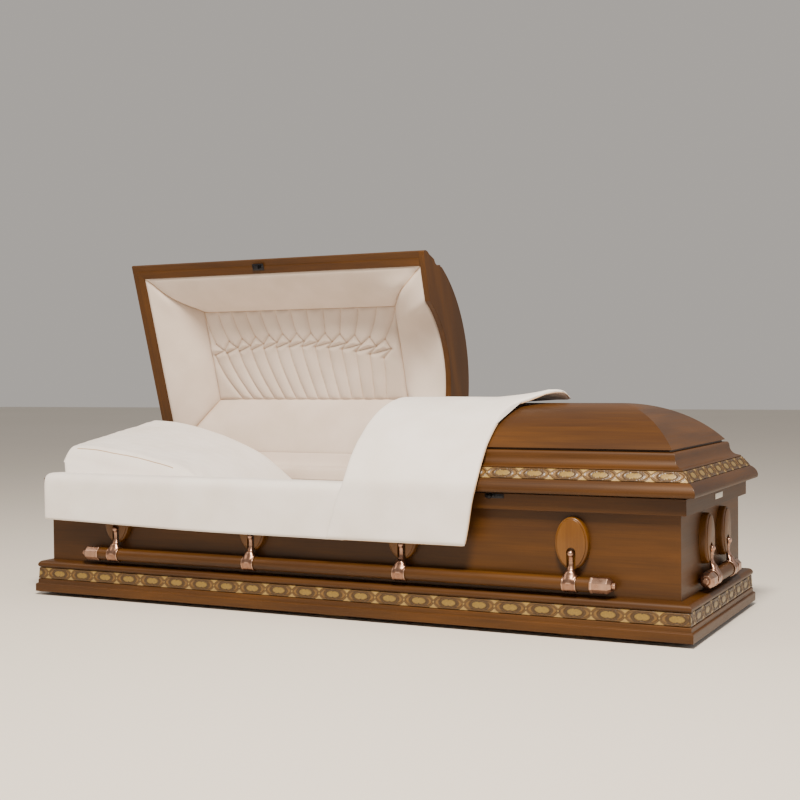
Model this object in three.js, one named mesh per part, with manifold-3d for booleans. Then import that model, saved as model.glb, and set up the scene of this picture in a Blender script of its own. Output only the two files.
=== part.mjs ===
// Half-couch hardwood funeral casket, head lid standing open, foot lid closed.
// Millimetres. X runs from the head to the foot, Y from the front to the hinge side, Z up.
// The origin is on the floor, under the middle of the casket.
// Mouldings are profiles of [offset, height]: the offset is measured outwards from the
// plinth's face, so a point keeps its offset round every mitred corner.
import * as THREE from 'three';
import { mergeVertices } from 'three/addons/utils/BufferGeometryUtils.js';
import Module from 'manifold-3d';

const wasm = await Module();
wasm.setup();

// Outer size of the plinth, and the gap kept between pieces that touch
const LENGTH = 2110;
const WIDTH = 723;
const HALF_L = LENGTH / 2;
const HALF_W = WIDTH / 2;
const GAP = 0.3;

// Heights
const PLINTH_BOTTOM = 12;
const PLINTH_TOP = 111;
const RUNNER_TOP = 20;
const RAIL_BOTTOM = 328;
const RAIL_TOP = 370.5;
const LID_BOTTOM = 373.2;
const REBATE_TOP = 376.7;
const CROWN_BOTTOM = 490.7;
const CROWN_TOP = 603.5;

// Offsets from the plinth's face, inwards negative
const RAIL_FACE = -21.7;
const WALL_FACE = -40.5;
const WALL_INSIDE = -59.5;
const LINING_INSIDE = -76;
const LID_INSIDE = -40;
const REBATE_INSIDE = -15;
const REBATE_OUTSIDE = 1.5;
const CROWN_FACE = -70.6;

// Thicknesses
const CROWN_THICK = 15;
const HEADER_THICK = 19;
const BOARD_THICK = 18;

// Lids: where they part, the hipped end, the arch of the header boards, the hinge
const SPLIT_X = 76.5;
const SPLIT_GAP = 3;
const HIP_RUN = 235;
const CROWN_STEPS = 9;
const ARCH_HALF = 207;
const ARCH_TOP = 456;
const ARCH_STEPS = 8;
const HINGE_Y = 366.5;
const HINGE_Z = RAIL_TOP;
const HINGE_RADIUS = 3;
const OPEN_ANGLE = THREE.MathUtils.degToRad(73);

// Ornament bands: the face of each, and one repeat of the pattern
const PLINTH_BAND = { bottom: [-7.6, 51.5], top: [-9.6, 88] };
const LID_BAND = { bottom: [-10.8, 412.3], top: [-32, 440.8] };
const SEAT_DEPTH = 4.3;
const OVAL_PITCH = 89.8;
const OVAL_HALF_LENGTH = 31;
const OVAL_HALF_HEIGHT = 14;
const PLINTH_FIRST_OVAL = 23.7;
const STRIP_DEPTH = 0.8;
const RELIEF = 2.6;

// Swing-bar handles, measured outwards from the wall. The side handles hang a little nearer
// the head than the foot.
const SIDE_HANDLE_X = -9.5;
const SIDE_ARMS = [-739, -246.3, 246.3, 739];
const END_ARMS = [-95, 95];
const SIDE_BAR_HALF = 861;
const END_BAR_HALF = 177;
const PIVOT_OUT = 19;
const PIVOT_Z = 220;
const BALL_OUT = 24;
const BALL_RADIUS = 9;
const PIN_RADIUS = 2.5;
const BAR_OUT = 25;
const BAR_Z = 142;
const BAR_RADIUS = 19;
const BAR_SIDES = 10;
const CLAMP_THICK = 3.5;
const CLAMP_HALF = 20;
const SIDE_CAP = 66;
const END_CAP = 52;
const CAP_RADIUS = 22;
const LUG_Z = 246;
const LUG_THICK = 22;
const LUG_STRAIGHT = 14;
const SLOT_HALF = 12.5;
const SLOT_FLOOR = 8;
const SLOT_TOP_Z = PIVOT_Z + 3;

// Upholstery
const BED_TOP = 275;
const CLOTH_THICK = 14;
const OVERLAY_BOTTOM = 234;
const OVERLAY_X = [-985, 70];
const OVERLAY_TAIL_X = -976;
const THROW_BOTTOM = 230;
const THROW_CLEARANCE = 2.5;
const BORDER_THICK = 8;
const PANEL_HALF = 163;
const PANEL_Z = 505;
const HEAD_PANEL = { end: -881, split: -120 };
const FOOT_PANEL = { end: 881, split: 271 };
const PLEATS = 13;

const finish = (color, roughness, metalness) =>
  new THREE.MeshStandardMaterial({ color, roughness, metalness });
const wood = finish('#7d4e20', 0.35, 0);
const plainWood = finish('#9a7342', 0.7, 0);
const gilt = finish('#a98b4c', 0.45, 0.3);
const copper = finish('#b07f6a', 0.35, 0.9);
const blackMetal = finish('#26262a', 0.4, 0.6);
const ivory = finish('#d8d2c4', 0.5, 0);
const crepe = finish('#ece7e2', 0.9, 0);

const casket = new THREE.Group();

// A lid's pieces are drawn closed, in a group that turns about the hinge
function lidGroup(angle) {
  const turned = new THREE.Group();
  turned.position.set(0, HINGE_Y, HINGE_Z);
  turned.rotation.x = -angle;
  const closed = new THREE.Group();
  closed.position.set(0, -HINGE_Y, -HINGE_Z);
  turned.add(closed);
  casket.add(turned);
  return closed;
}

function addMesh(parent, name, geometry, material) {
  const mesh = new THREE.Mesh(geometry, material);
  mesh.name = name;
  parent.add(mesh);
  return mesh;
}

// Closed bodies from rings of [x, y, z] points

function signedVolume(positions, index) {
  const corner = (i) => new THREE.Vector3(...positions.slice(3 * i, 3 * i + 3));
  let sum = 0;
  for (let i = 0; i < index.length; i += 3) {
    const [a, b, c] = [0, 1, 2].map((k) => corner(index[i + k]));
    sum += a.dot(b.cross(c));
  }
  return sum;
}

function bodyFrom(positions, index) {
  if (signedVolume(positions, index) < 0) {
    index.reverse();
  }
  const geometry = new THREE.BufferGeometry();
  geometry.setAttribute('position', new THREE.Float32BufferAttribute(positions, 3));
  geometry.setIndex(index);
  return geometry;
}

// A skin over rings of equal length. The last ring joins the first, or both get flat caps:
// outline is the ring's shape on paper, and may be left out where the rings are convex.
function loft(rings, { joined = false, outline = null } = {}) {
  const count = rings[0].length;
  const index = [];
  const spans = joined ? rings.length : rings.length - 1;
  for (let r = 0; r < spans; r += 1) {
    const here = r * count;
    const next = ((r + 1) % rings.length) * count;
    for (let i = 0; i < count; i += 1) {
      const j = (i + 1) % count;
      index.push(here + i, next + i, next + j);
      index.push(here + i, next + j, here + j);
    }
  }
  if (!joined) {
    const round = rings[0].map((_, i) => [Math.cos((2 * Math.PI * i) / count),
      Math.sin((2 * Math.PI * i) / count)]);
    const flat = (outline ?? round).map(([u, v]) => new THREE.Vector2(u, v));
    const clockwise = THREE.ShapeUtils.isClockWise(flat);
    const last = (rings.length - 1) * count;
    for (const [a, b, c] of THREE.ShapeUtils.triangulateShape(flat, [])) {
      const first = clockwise ? [a, c, b] : [a, b, c];
      const end = clockwise ? [a, b, c] : [a, c, b];
      index.push(...first);
      index.push(...end.map((i) => i + last));
    }
  }
  return bodyFrom(rings.flat(2), index);
}

function box(x0, x1, y0, y1, z0, z1) {
  const ring = (z) => [[x0, y0, z], [x1, y0, z], [x1, y1, z], [x0, y1, z]];
  return loft([ring(z0), ring(z1)]);
}

// A section of [y, z] points run along X
function runAlongX(section, x0, x1) {
  const ring = (x) => section.map(([y, z]) => [x, y, z]);
  return loft([ring(x0), ring(x1)], { outline: section });
}

// Booleans

function toSolid(geometry) {
  const bare = geometry.clone();
  bare.deleteAttribute('normal');
  bare.deleteAttribute('uv');
  const merged = mergeVertices(bare, 1e-4);
  return new wasm.Manifold(new wasm.Mesh({
    numProp: 3,
    vertProperties: new Float32Array(merged.attributes.position.array),
    triVerts: new Uint32Array(merged.index.array),
  }));
}

function toGeometry(solid) {
  const { vertProperties, triVerts } = solid.getMesh();
  const geometry = new THREE.BufferGeometry();
  geometry.setAttribute('position', new THREE.BufferAttribute(new Float32Array(vertProperties), 3));
  geometry.setIndex(new THREE.BufferAttribute(new Uint32Array(triVerts), 1));
  return geometry;
}

function join(...geometries) {
  const [first, ...others] = geometries.map(toSolid);
  return toGeometry(others.reduce((sum, other) => sum.add(other), first));
}

function cut(geometry, ...tools) {
  return toGeometry(tools.map(toSolid).reduce((rest, tool) => rest.subtract(tool), toSolid(geometry)));
}

// A cylinder or cone lying along X, with its flats or corners where the bar has them
function roundAlongX(radius, x0, x1, y, z, sides = BAR_SIDES) {
  const ring = (x) => Array.from({ length: sides }, (_, i) => {
    const angle = (2 * Math.PI * i) / sides;
    return [x, y + radius * Math.cos(angle), z + radius * Math.sin(angle)];
  });
  return loft([ring(x0), ring(x1)]);
}

// Mitred mouldings

const frontHead = (o) => [-HALF_L - o, -HALF_W - o];
const frontFoot = (o) => [HALF_L + o, -HALF_W - o];
const backFoot = (o) => [HALF_L + o, HALF_W + o];
const backHead = (o) => [-HALF_L - o, HALF_W + o];

function mouldingRing(profile, corner) {
  return profile.map(([o, z]) => [...corner(o), z]);
}

function mitredFrame(profile) {
  const corners = [frontHead, frontFoot, backFoot, backHead];
  return loft(corners.map((corner) => mouldingRing(profile, corner)), { joined: true });
}

// Round three sides of a lid: from the split along the front, over the end and back.
// side is -1 for the head lid, whose end is at -X, and 1 for the foot lid.
function mitredLid(profile, side, splitX) {
  const corners = [
    (o) => [splitX, -HALF_W - o],
    (o) => [side * (HALF_L + o), -HALF_W - o],
    (o) => [side * (HALF_L + o), HALF_W + o],
    (o) => [splitX, HALF_W + o],
  ];
  return loft(corners.map((corner) => mouldingRing(profile, corner)), { outline: profile });
}

// Ornament bands. A band lies in a seat cut parallel to its face, and has raised ovals on the
// sides that are shown; along the hinge side it is plain.

function bandPoint({ bottom, top }, along, depth) {
  const [du, dv] = [top[0] - bottom[0], top[1] - bottom[1]];
  const size = Math.hypot(du, dv);
  const start = along >= 0 ? bottom : top;
  return [
    start[0] + (du * along - dv * depth) / size,
    start[1] + (dv * along + du * depth) / size,
  ];
}

const seatOf = (band) => [
  band.bottom,
  bandPoint(band, 0.6, SEAT_DEPTH),
  bandPoint(band, -0.6, SEAT_DEPTH),
  band.top,
];

const stripOf = (band) => [
  bandPoint(band, 1.2, SEAT_DEPTH - GAP),
  bandPoint(band, 1.2, STRIP_DEPTH),
  bandPoint(band, -1.2, STRIP_DEPTH),
  bandPoint(band, -1.2, SEAT_DEPTH - GAP),
];

// One raised oval on the band, its edge bevelled. place turns [along, offset, height] into a point.
function oval(band, place) {
  const height = Math.hypot(band.top[0] - band.bottom[0], band.top[1] - band.bottom[1]);
  const ring = (scale, depth) => Array.from({ length: 6 }, (_, i) => {
    const angle = (Math.PI * i) / 3;
    const rise = height / 2 + 1.1 * scale * OVAL_HALF_HEIGHT * Math.sin(angle);
    return place(scale * OVAL_HALF_LENGTH * Math.cos(angle), ...bandPoint(band, rise, depth));
  });
  return loft([ring(1, STRIP_DEPTH + 1), ring(0.82, STRIP_DEPTH - RELIEF)]);
}

const sideOf = {
  front: (u, o, z) => [u, -HALF_W - o, z],
  head: (u, o, z) => [-HALF_L - o, u, z],
  foot: (u, o, z) => [HALF_L + o, u, z],
};

// Whole ovals at the pitch between two ends of a straight run
function ovalsAlong(band, side, from, to, first = 0) {
  const ovals = [];
  const start = Math.ceil((from + OVAL_HALF_LENGTH - first) / OVAL_PITCH);
  const end = Math.floor((to - OVAL_HALF_LENGTH - first) / OVAL_PITCH);
  for (let k = start; k <= end; k += 1) {
    const centre = first + k * OVAL_PITCH;
    ovals.push(oval(band, (u, o, z) => sideOf[side](centre + u, o, z)));
  }
  return ovals;
}

function plinthOrnament() {
  const [endX, endY] = [HALF_L, HALF_W].map((half) => half + PLINTH_BAND.top[0] - 2);
  return join(
    mitredFrame(stripOf(PLINTH_BAND)),
    ...ovalsAlong(PLINTH_BAND, 'front', -endX, endX, PLINTH_FIRST_OVAL),
    ...['head', 'foot'].flatMap((side) => ovalsAlong(PLINTH_BAND, side, -endY, endY)),
  );
}

function lidOrnament(side, splitX) {
  const [endX, endY] = [HALF_L, HALF_W].map((half) => half + LID_BAND.top[0] - 2);
  const [from, to] = side < 0 ? [-endX, splitX - 2] : [splitX + 2, endX];
  return join(
    mitredLid(stripOf(LID_BAND), side, splitX),
    ...ovalsAlong(LID_BAND, 'front', from, to),
    ...ovalsAlong(LID_BAND, side < 0 ? 'head' : 'foot', -endY, endY),
  );
}

// Profiles

const plinthProfile = [
  [WALL_FACE + GAP, PLINTH_BOTTOM],
  [0, PLINTH_BOTTOM],
  [0, 34.5],
  [-1.5, 36.4],
  [-6, 38],
  [-6, 49.5],
  ...seatOf(PLINTH_BAND),
  [-5.6, 92],
  [-5.6, 98.5],
  [-8.2, 103],
  [-12.5, 106.8],
  [-18, 108.4],
  [WALL_FACE + GAP, PLINTH_TOP],
];

const coveStart = [-36, 444.3];
const coveEnd = [-60, 466.5];
const cove = new THREE.QuadraticBezierCurve(
  new THREE.Vector2(...coveStart),
  new THREE.Vector2(-55, 447.5),
  new THREE.Vector2(...coveEnd),
).getPoints(4).map((p) => [p.x, p.y]);

const rimNose = [
  [4, 375.2],
  [7, 380],
  [7, 390.5],
  [4, 400],
  [-5, 408.8],
];

const ovolo = [
  [-61.5, 472],
  [-62.3, 479.5],
  [-66, 484.4],
];

const lidProfile = [
  [LID_INSIDE, LID_BOTTOM],
  [REBATE_INSIDE, LID_BOTTOM],
  [REBATE_INSIDE, REBATE_TOP],
  [REBATE_OUTSIDE, REBATE_TOP],
  ...rimNose,
  ...seatOf(LID_BAND),
  [-33, 442.6],
  ...cove,
  ...ovolo,
  [-79, 484.6],
  [-79, CROWN_BOTTOM - GAP],
  [-93, CROWN_BOTTOM - GAP],
  [-93, 478],
  [LID_INSIDE, 394],
];

// The crown: two round sides, and a hipped end of the same height and a shorter run

const CROWN_RISE = CROWN_TOP - CROWN_BOTTOM;
const arcRadius = (run) => (run * run + CROWN_RISE * CROWN_RISE) / (2 * CROWN_RISE);
const SIDE_RADIUS = arcRadius(HALF_W + CROWN_FACE);
const HIP_RADIUS = arcRadius(HIP_RUN);

// Level rings from the eave to the ridge, shrunk inwards by a thickness. The end has the side's
// height at every ring, which puts the hip lines where the two slopes meet.
function crownRings(side, splitX, thick) {
  const radius = SIDE_RADIUS - thick;
  const centre = CROWN_TOP - SIDE_RADIUS;
  const widest = Math.acos((CROWN_BOTTOM - centre) / radius);
  return Array.from({ length: CROWN_STEPS }, (_, i) => {
    const turn = widest * (1 - i / (CROWN_STEPS - 0.5));
    const y = radius * Math.sin(turn);
    const z = centre + radius * Math.cos(turn);
    const rise = z - (CROWN_TOP - HIP_RADIUS);
    const reach = Math.sqrt(Math.max((HIP_RADIUS - thick) ** 2 - rise ** 2, 0));
    const x = side * (HALF_L + CROWN_FACE - HIP_RUN + reach);
    return [[splitX, -y, z], [x, -y, z], [x, y, z], [splitX, y, z]];
  });
}

function crown(side, splitX) {
  const inside = crownRings(side, splitX - side * 5, CROWN_THICK);
  const below = inside[0].map(([x, y]) => [x, y, CROWN_BOTTOM - 5]);
  return cut(loft(crownRings(side, splitX, 0)), loft([below, ...inside]));
}

// The header board that closes a lid where the two lids meet: the whole outline of the
// mouldings and crown, with an arch cut in its lower edge

function arch() {
  const rise = ARCH_TOP - LID_BOTTOM;
  const radius = (ARCH_HALF ** 2 + rise ** 2) / (2 * rise);
  const half = Math.asin(ARCH_HALF / radius);
  return Array.from({ length: ARCH_STEPS + 1 }, (_, i) => {
    const angle = half * (1 - (2 * i) / ARCH_STEPS);
    return [radius * Math.sin(angle), ARCH_TOP - radius + radius * Math.cos(angle)];
  });
}

function headerBoard(x0, x1) {
  const half = [
    [REBATE_INSIDE, LID_BOTTOM],
    ...rimNose,
    LID_BAND.bottom,
    LID_BAND.top,
    ...cove,
    ...ovolo,
    [-74, 485],
    [-74, CROWN_BOTTOM - 0.4],
  ].map(([o, z]) => [HALF_W + o, z]);
  const steps = Array.from({ length: CROWN_STEPS }, (_, i) => {
    const turn = Math.asin((HALF_W + CROWN_FACE) / SIDE_RADIUS) * (1 - i / (CROWN_STEPS - 0.5));
    return [SIDE_RADIUS * Math.sin(turn), CROWN_TOP - SIDE_RADIUS + SIDE_RADIUS * Math.cos(turn)];
  });
  const right = [...half, ...steps];
  const left = right.map(([y, z]) => [-y, z]).reverse();
  return runAlongX([...right, ...left, ...arch().reverse()], x0, x1);
}

// A catch under a lid's front rim: a flat strip, and a hook in front of the rail
function lidCatch(x) {
  const strip = box(x - 22, x + 22, -356, -334, RAIL_TOP + 0.6, LID_BOTTOM - GAP);
  const hook = box(x - 11, x + 11, -353, -341, 357, RAIL_TOP + 1);
  return join(strip, hook);
}

// A latch on the front rail: a strip and a button to press
function frontLatch(x0, x1) {
  const face = -HALF_W - RAIL_FACE - GAP;
  const strip = box(x0, x1, face - 1.6, face, 357, 369);
  const button = new THREE.SphereGeometry(7, 8, 6);
  button.translate(x0 + 15, face - 8, 363);
  return join(strip, box(x0 + 2, x0 + 29, face - 4, face - 1, 359, 367), button);
}

function lid(side, angle) {
  const word = side < 0 ? 'head_lid' : 'foot_lid';
  const group = lidGroup(angle);
  const splitX = SPLIT_X + (side * SPLIT_GAP) / 2;
  const behind = splitX + side * HEADER_THICK;
  const butt = behind + side * GAP;
  addMesh(group, `${word}_crown`, crown(side, butt), wood);
  addMesh(group, `${word}_moulding`, mitredLid(lidProfile, side, butt), wood);
  addMesh(group, `${word}_ornament`, lidOrnament(side, butt), gilt);
  addMesh(group, `${word}_header`,
    headerBoard(Math.min(splitX, behind), Math.max(splitX, behind)), wood);
  return { group, behind };
}

// Handles. Each is drawn on a wall that faces -Y, with the wall's face at y = 0.

function lug(x) {
  const sizes = [
    [46, 68.5, GAP],
    [46, 68.5, LUG_STRAIGHT],
    [43.5, 66, 18.5],
    [37.4, 60, LUG_THICK],
  ];
  const body = loft(sizes.map(([a, b, out]) => Array.from({ length: 12 }, (_, i) => {
    const angle = (2 * Math.PI * i) / 12;
    return [x + a * Math.sin(angle), -out, LUG_Z + b * Math.cos(angle)];
  })));
  const slot = Array.from({ length: 5 }, (_, i) => {
    const angle = (Math.PI * i) / 4;
    return [x + SLOT_HALF * Math.cos(angle), SLOT_TOP_Z + SLOT_HALF * Math.sin(angle)];
  });
  slot.push([x - SLOT_HALF, LUG_Z - 80], [x + SLOT_HALF, LUG_Z - 80]);
  const slotRing = (out) => slot.map(([u, z]) => [u, -out, z]);
  return cut(body, loft([slotRing(SLOT_FLOOR), slotRing(LUG_THICK + 5)], { outline: slot }));
}

function arm(x) {
  const run = [
    [0, 7, 6.5],
    [0.5, 8.5, 6.5],
    [0.78, 19, 12],
  ];
  const neck = loft(run.map(([t, halfWide, halfDeep]) => Array.from({ length: 6 }, (_, i) => {
    const angle = (Math.PI * i) / 3;
    const out = BALL_OUT + (BAR_OUT - BALL_OUT) * t;
    const z = PIVOT_Z + (BAR_Z - PIVOT_Z) * t;
    return [x + halfWide * Math.cos(angle), -out - halfDeep * Math.sin(angle), z];
  })));
  const ball = new THREE.SphereGeometry(BALL_RADIUS, 6, 3);
  ball.rotateX(Math.PI / 2);
  ball.translate(x, -BALL_OUT, PIVOT_Z);
  const pinHalf = SLOT_HALF - 1;
  const pin = roundAlongX(PIN_RADIUS, x - pinHalf, x + pinHalf, -PIVOT_OUT, PIVOT_Z, 4);
  const [clampRadius, boreRadius] = [BAR_RADIUS + CLAMP_THICK, BAR_RADIUS + GAP];
  const clamp = roundAlongX(clampRadius, x - CLAMP_HALF, x + CLAMP_HALF, -BAR_OUT, BAR_Z);
  const bore = roundAlongX(boreRadius, x - CLAMP_HALF - 5, x + CLAMP_HALF + 5, -BAR_OUT, BAR_Z);
  return cut(join(neck, ball, pin, clamp), bore);
}

// An eight-sided cap on the bar's end: bead, body, chamfer and button. Steps are measured
// back from the bar's very end.
function capRings(side, half, length) {
  const steps = [
    [length, CAP_RADIUS + 0.5],
    [length - 7, CAP_RADIUS + 0.5],
    [length - 7.1, CAP_RADIUS],
    [20, CAP_RADIUS],
    [9, 14],
    [8.9, 9.5],
    [0, 8],
  ];
  return steps.map(([back, radius]) => Array.from({ length: 8 }, (_, i) => {
    const angle = (Math.PI * (i + 0.5)) / 4;
    const x = side * (half - back);
    return [x, -BAR_OUT + radius * Math.cos(angle), BAR_Z + radius * Math.sin(angle)];
  }));
}

function handle(word, wall, turn, { arms, half, cap }, separateCaps) {
  const group = new THREE.Group();
  group.position.set(...wall, 0);
  group.rotation.z = turn;
  casket.add(group);
  const barEnd = half - cap;
  const bar = roundAlongX(BAR_RADIUS, -barEnd + GAP, barEnd - GAP, -BAR_OUT, BAR_Z);
  const caps = [-1, 1].map((side) => loft(capRings(side, half, cap)));
  if (separateCaps) {
    addMesh(group, `${word}_bar`, bar, wood);
    caps.forEach((cap, i) => addMesh(group, `${word}_bar_cap_${i + 1}`, cap, copper));
  } else {
    const through = roundAlongX(BAR_RADIUS, -barEnd - 2, barEnd + 2, -BAR_OUT, BAR_Z);
    addMesh(group, `${word}_bar`, join(through, ...caps), wood);
  }
  arms.forEach((x, i) => {
    addMesh(group, `${word}_lug_${i + 1}`, lug(x), wood);
    addMesh(group, `${word}_arm_${i + 1}`, arm(x), copper);
  });
}

// Carcass

const rectangle = (o0, o1, z0, z1) => [[o0, z0], [o1, z0], [o1, z1], [o0, z1]];

[['head', -720], ['middle', 0], ['foot', 720]].forEach(([word, x]) => {
  addMesh(casket, `runner_${word}`, box(x - 35, x + 35, -315, 315, 0, RUNNER_TOP), plainWood);
});
const BOARD_Z = RUNNER_TOP + GAP;
const boardX = HALF_L + WALL_INSIDE - GAP;
const boardY = HALF_W + WALL_INSIDE - GAP;
addMesh(casket, 'bottom_board',
  box(-boardX, boardX, -boardY, boardY, BOARD_Z, BOARD_Z + BOARD_THICK), plainWood);
addMesh(casket, 'carcass_walls',
  mitredFrame(rectangle(WALL_INSIDE, WALL_FACE, BOARD_Z, RAIL_TOP)), wood);
addMesh(casket, 'plinth_moulding', mitredFrame(plinthProfile), wood);
addMesh(casket, 'plinth_ornament', plinthOrnament(), gilt);
addMesh(casket, 'top_rail',
  mitredFrame(rectangle(WALL_FACE + GAP, RAIL_FACE, RAIL_BOTTOM, RAIL_TOP)), wood);
addMesh(casket, 'end_plate', box(HALF_L + RAIL_FACE + GAP, HALF_L + RAIL_FACE + 1.5, -40, 40, 345, 360),
  ivory);

// One long hinge behind the rail: a leaf, an arm under the rims, and the knuckle
const railBack = HALF_W + RAIL_FACE + GAP;
const hingeHalf = HALF_L - 60;
addMesh(casket, 'lid_hinge', join(
  box(-hingeHalf, hingeHalf, railBack, railBack + 1.5, 345, 368.3),
  box(-hingeHalf, hingeHalf, railBack, HINGE_Y, 366.5, 368.3),
  roundAlongX(HINGE_RADIUS, -hingeHalf, hingeHalf, HINGE_Y, HINGE_Z, 8),
), blackMetal);

// Lids
const head = lid(-1, OPEN_ANGLE);
const foot = lid(1, 0);
addMesh(head.group, 'head_lid_catch', lidCatch(-540), blackMetal);
addMesh(casket, 'front_latch', frontLatch(488, 542), blackMetal);

// Handles, one on each wall
const wallX = HALF_L + WALL_FACE;
const wallY = HALF_W + WALL_FACE;
const sideHandle = { arms: SIDE_ARMS, half: SIDE_BAR_HALF, cap: SIDE_CAP };
const endHandle = { arms: END_ARMS, half: END_BAR_HALF, cap: END_CAP };
handle('front', [SIDE_HANDLE_X, -wallY], 0, sideHandle, true);
handle('foot', [wallX, 0], Math.PI / 2, endHandle, true);
handle('back', [SIDE_HANDLE_X, wallY], Math.PI, sideHandle, false);
handle('head', [-wallX, 0], -Math.PI / 2, endHandle, false);

// Lid linings: a fabric border that slopes in from the frame to a panel under the crown.
// Its edge at the header follows the arch.

const liningY = HALF_W + LID_INSIDE - 1;

function borderLining(side, behind, panel) {
  const endX = side * (HALF_L + LID_INSIDE - 1);
  const near = behind + side * 1.5;
  const low = LID_BOTTOM + 4;
  const edge = [
    [endX, -liningY, low],
    [near, -liningY, low],
    ...arch().reverse().map(([y, z]) => [near, y, z + 4]),
    [near, liningY, low],
    [endX, liningY, low],
  ];
  const inner = edge.map(([x, y]) => [
    x === endX ? panel.end : panel.split,
    (y * PANEL_HALF) / liningY,
    PANEL_Z,
  ]);
  const raised = ([x, y, z]) => [x, y, z + BORDER_THICK];
  const stations = edge.map((point, i) => [point, inner[i], raised(inner[i]), raised(point)]);
  return loft(stations, { joined: true });
}

// The panel's face is pleated across the lid
function pleatedPanel({ split, end }) {
  const width = (split - end - 1) / PLEATS;
  const face = [];
  for (let i = 0; i < PLEATS; i += 1) {
    const start = end + 0.5 + i * width;
    face.push([start, PANEL_Z - 1]);
    face.push([start + width * 0.35, PANEL_Z - 9]);
    face.push([start + width * 0.7, PANEL_Z - 8]);
  }
  const section = [...face, [split - 0.5, PANEL_Z - 1], [split - 0.5, PANEL_Z + BORDER_THICK - 1],
    [end + 0.5, PANEL_Z + BORDER_THICK - 1]];
  const ring = (y) => section.map(([x, z]) => [x, y, z]);
  return loft([ring(0.5 - PANEL_HALF), ring(PANEL_HALF - 0.5)], { outline: section });
}

addMesh(head.group, 'head_lid_border_lining', borderLining(-1, head.behind, HEAD_PANEL), crepe);
addMesh(head.group, 'head_lid_tufted_panel', pleatedPanel(HEAD_PANEL), crepe);
addMesh(foot.group, 'foot_lid_lining', join(
  borderLining(1, foot.behind, FOOT_PANEL),
  box(FOOT_PANEL.split - 1, FOOT_PANEL.end + 1, -PANEL_HALF - 1, PANEL_HALF + 1,
    PANEL_Z + 0.5, PANEL_Z + BORDER_THICK - 0.5),
), crepe);

// Bed

const bedX = HALF_L + LINING_INSIDE - GAP;
const bedY = HALF_W + LINING_INSIDE - GAP;
const BED_BOTTOM = BOARD_Z + BOARD_THICK + GAP;
addMesh(casket, 'body_lining',
  mitredFrame(rectangle(LINING_INSIDE, WALL_INSIDE - GAP, BED_BOTTOM, 366)), crepe);
addMesh(casket, 'mattress', box(-bedX, bedX, -bedY, bedY, BED_BOTTOM, BED_TOP), crepe);

// The pillow: a wedge, highest at the head end and at the back, that swells out over the
// lining above the rail
function pillow() {
  const [headX, footX, length] = [-998, -450, 548];
  const corner = 8;
  const top = (x, y) => {
    const t = THREE.MathUtils.clamp((x - headX) / length, 0, 1);
    const atHead = 470 + (68 * (y + 250)) / 450;
    return 372 + (1 - t * t) * (atHead - 372);
  };
  const levels = [
    { part: 0, head: 38, near: -252, far: 237, foot: -18 },
    { part: 0.22, head: 28, near: -258, far: 246, foot: -6 },
    { part: 0.56, head: 26, near: -260, far: 250, foot: 0 },
    { part: 0.62, head: 0, near: -290, far: 258, foot: 0 },
    { part: 0.9, head: 4, near: -271, far: 252, foot: -6 },
    { part: 1, head: 10, near: -258, far: 235, foot: -45 },
  ];
  return loft(levels.map(({ part, head: pull, near, far, foot: reach }) => {
    const [x0, x1] = [headX + pull, footX + reach];
    const [dx, dy] = [(x1 - x0) / 4, (far - near) / 4];
    const outline = [
      [x0, near + dy], [x0 + corner, near + corner], [x0 + dx, near], [x1 - dx, near],
      [x1 - corner, near + corner], [x1, near + dy], [x1, far - dy], [x1 - corner, far - corner],
      [x1 - dx, far], [x0 + dx, far], [x0 + corner, far - corner], [x0, far - dy],
    ];
    return outline.map(([x, y]) => {
      const t = (x - headX) / length;
      const tucked = Math.max(y, -260 - 32 * (1 - t) ** 2);
      return [x, tucked, BED_TOP + 1 + part * (top(x, y) - BED_TOP - 1)];
    });
  }));
}
addMesh(casket, 'pillow', pillow(), crepe);

// The overlay: a padded cloth laid over the front rail, its tail tucked inside the lining
const overlaySection = [
  [-379, OVERLAY_BOTTOM],
  [-379, 377],
  [-373, 385],
  [-364, 388],
  [-300, 388],
  [-283, 381],
  [-270, RAIL_TOP + 0.7],
  [-362.5, RAIL_TOP + 0.7],
  [-362.5, OVERLAY_BOTTOM],
];
addMesh(casket, 'front_overlay', join(
  runAlongX(overlaySection, ...OVERLAY_X),
  box(OVERLAY_TAIL_X, OVERLAY_X[1], -284.5, -270.5, 330, RAIL_TOP + 5),
), crepe);

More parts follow.
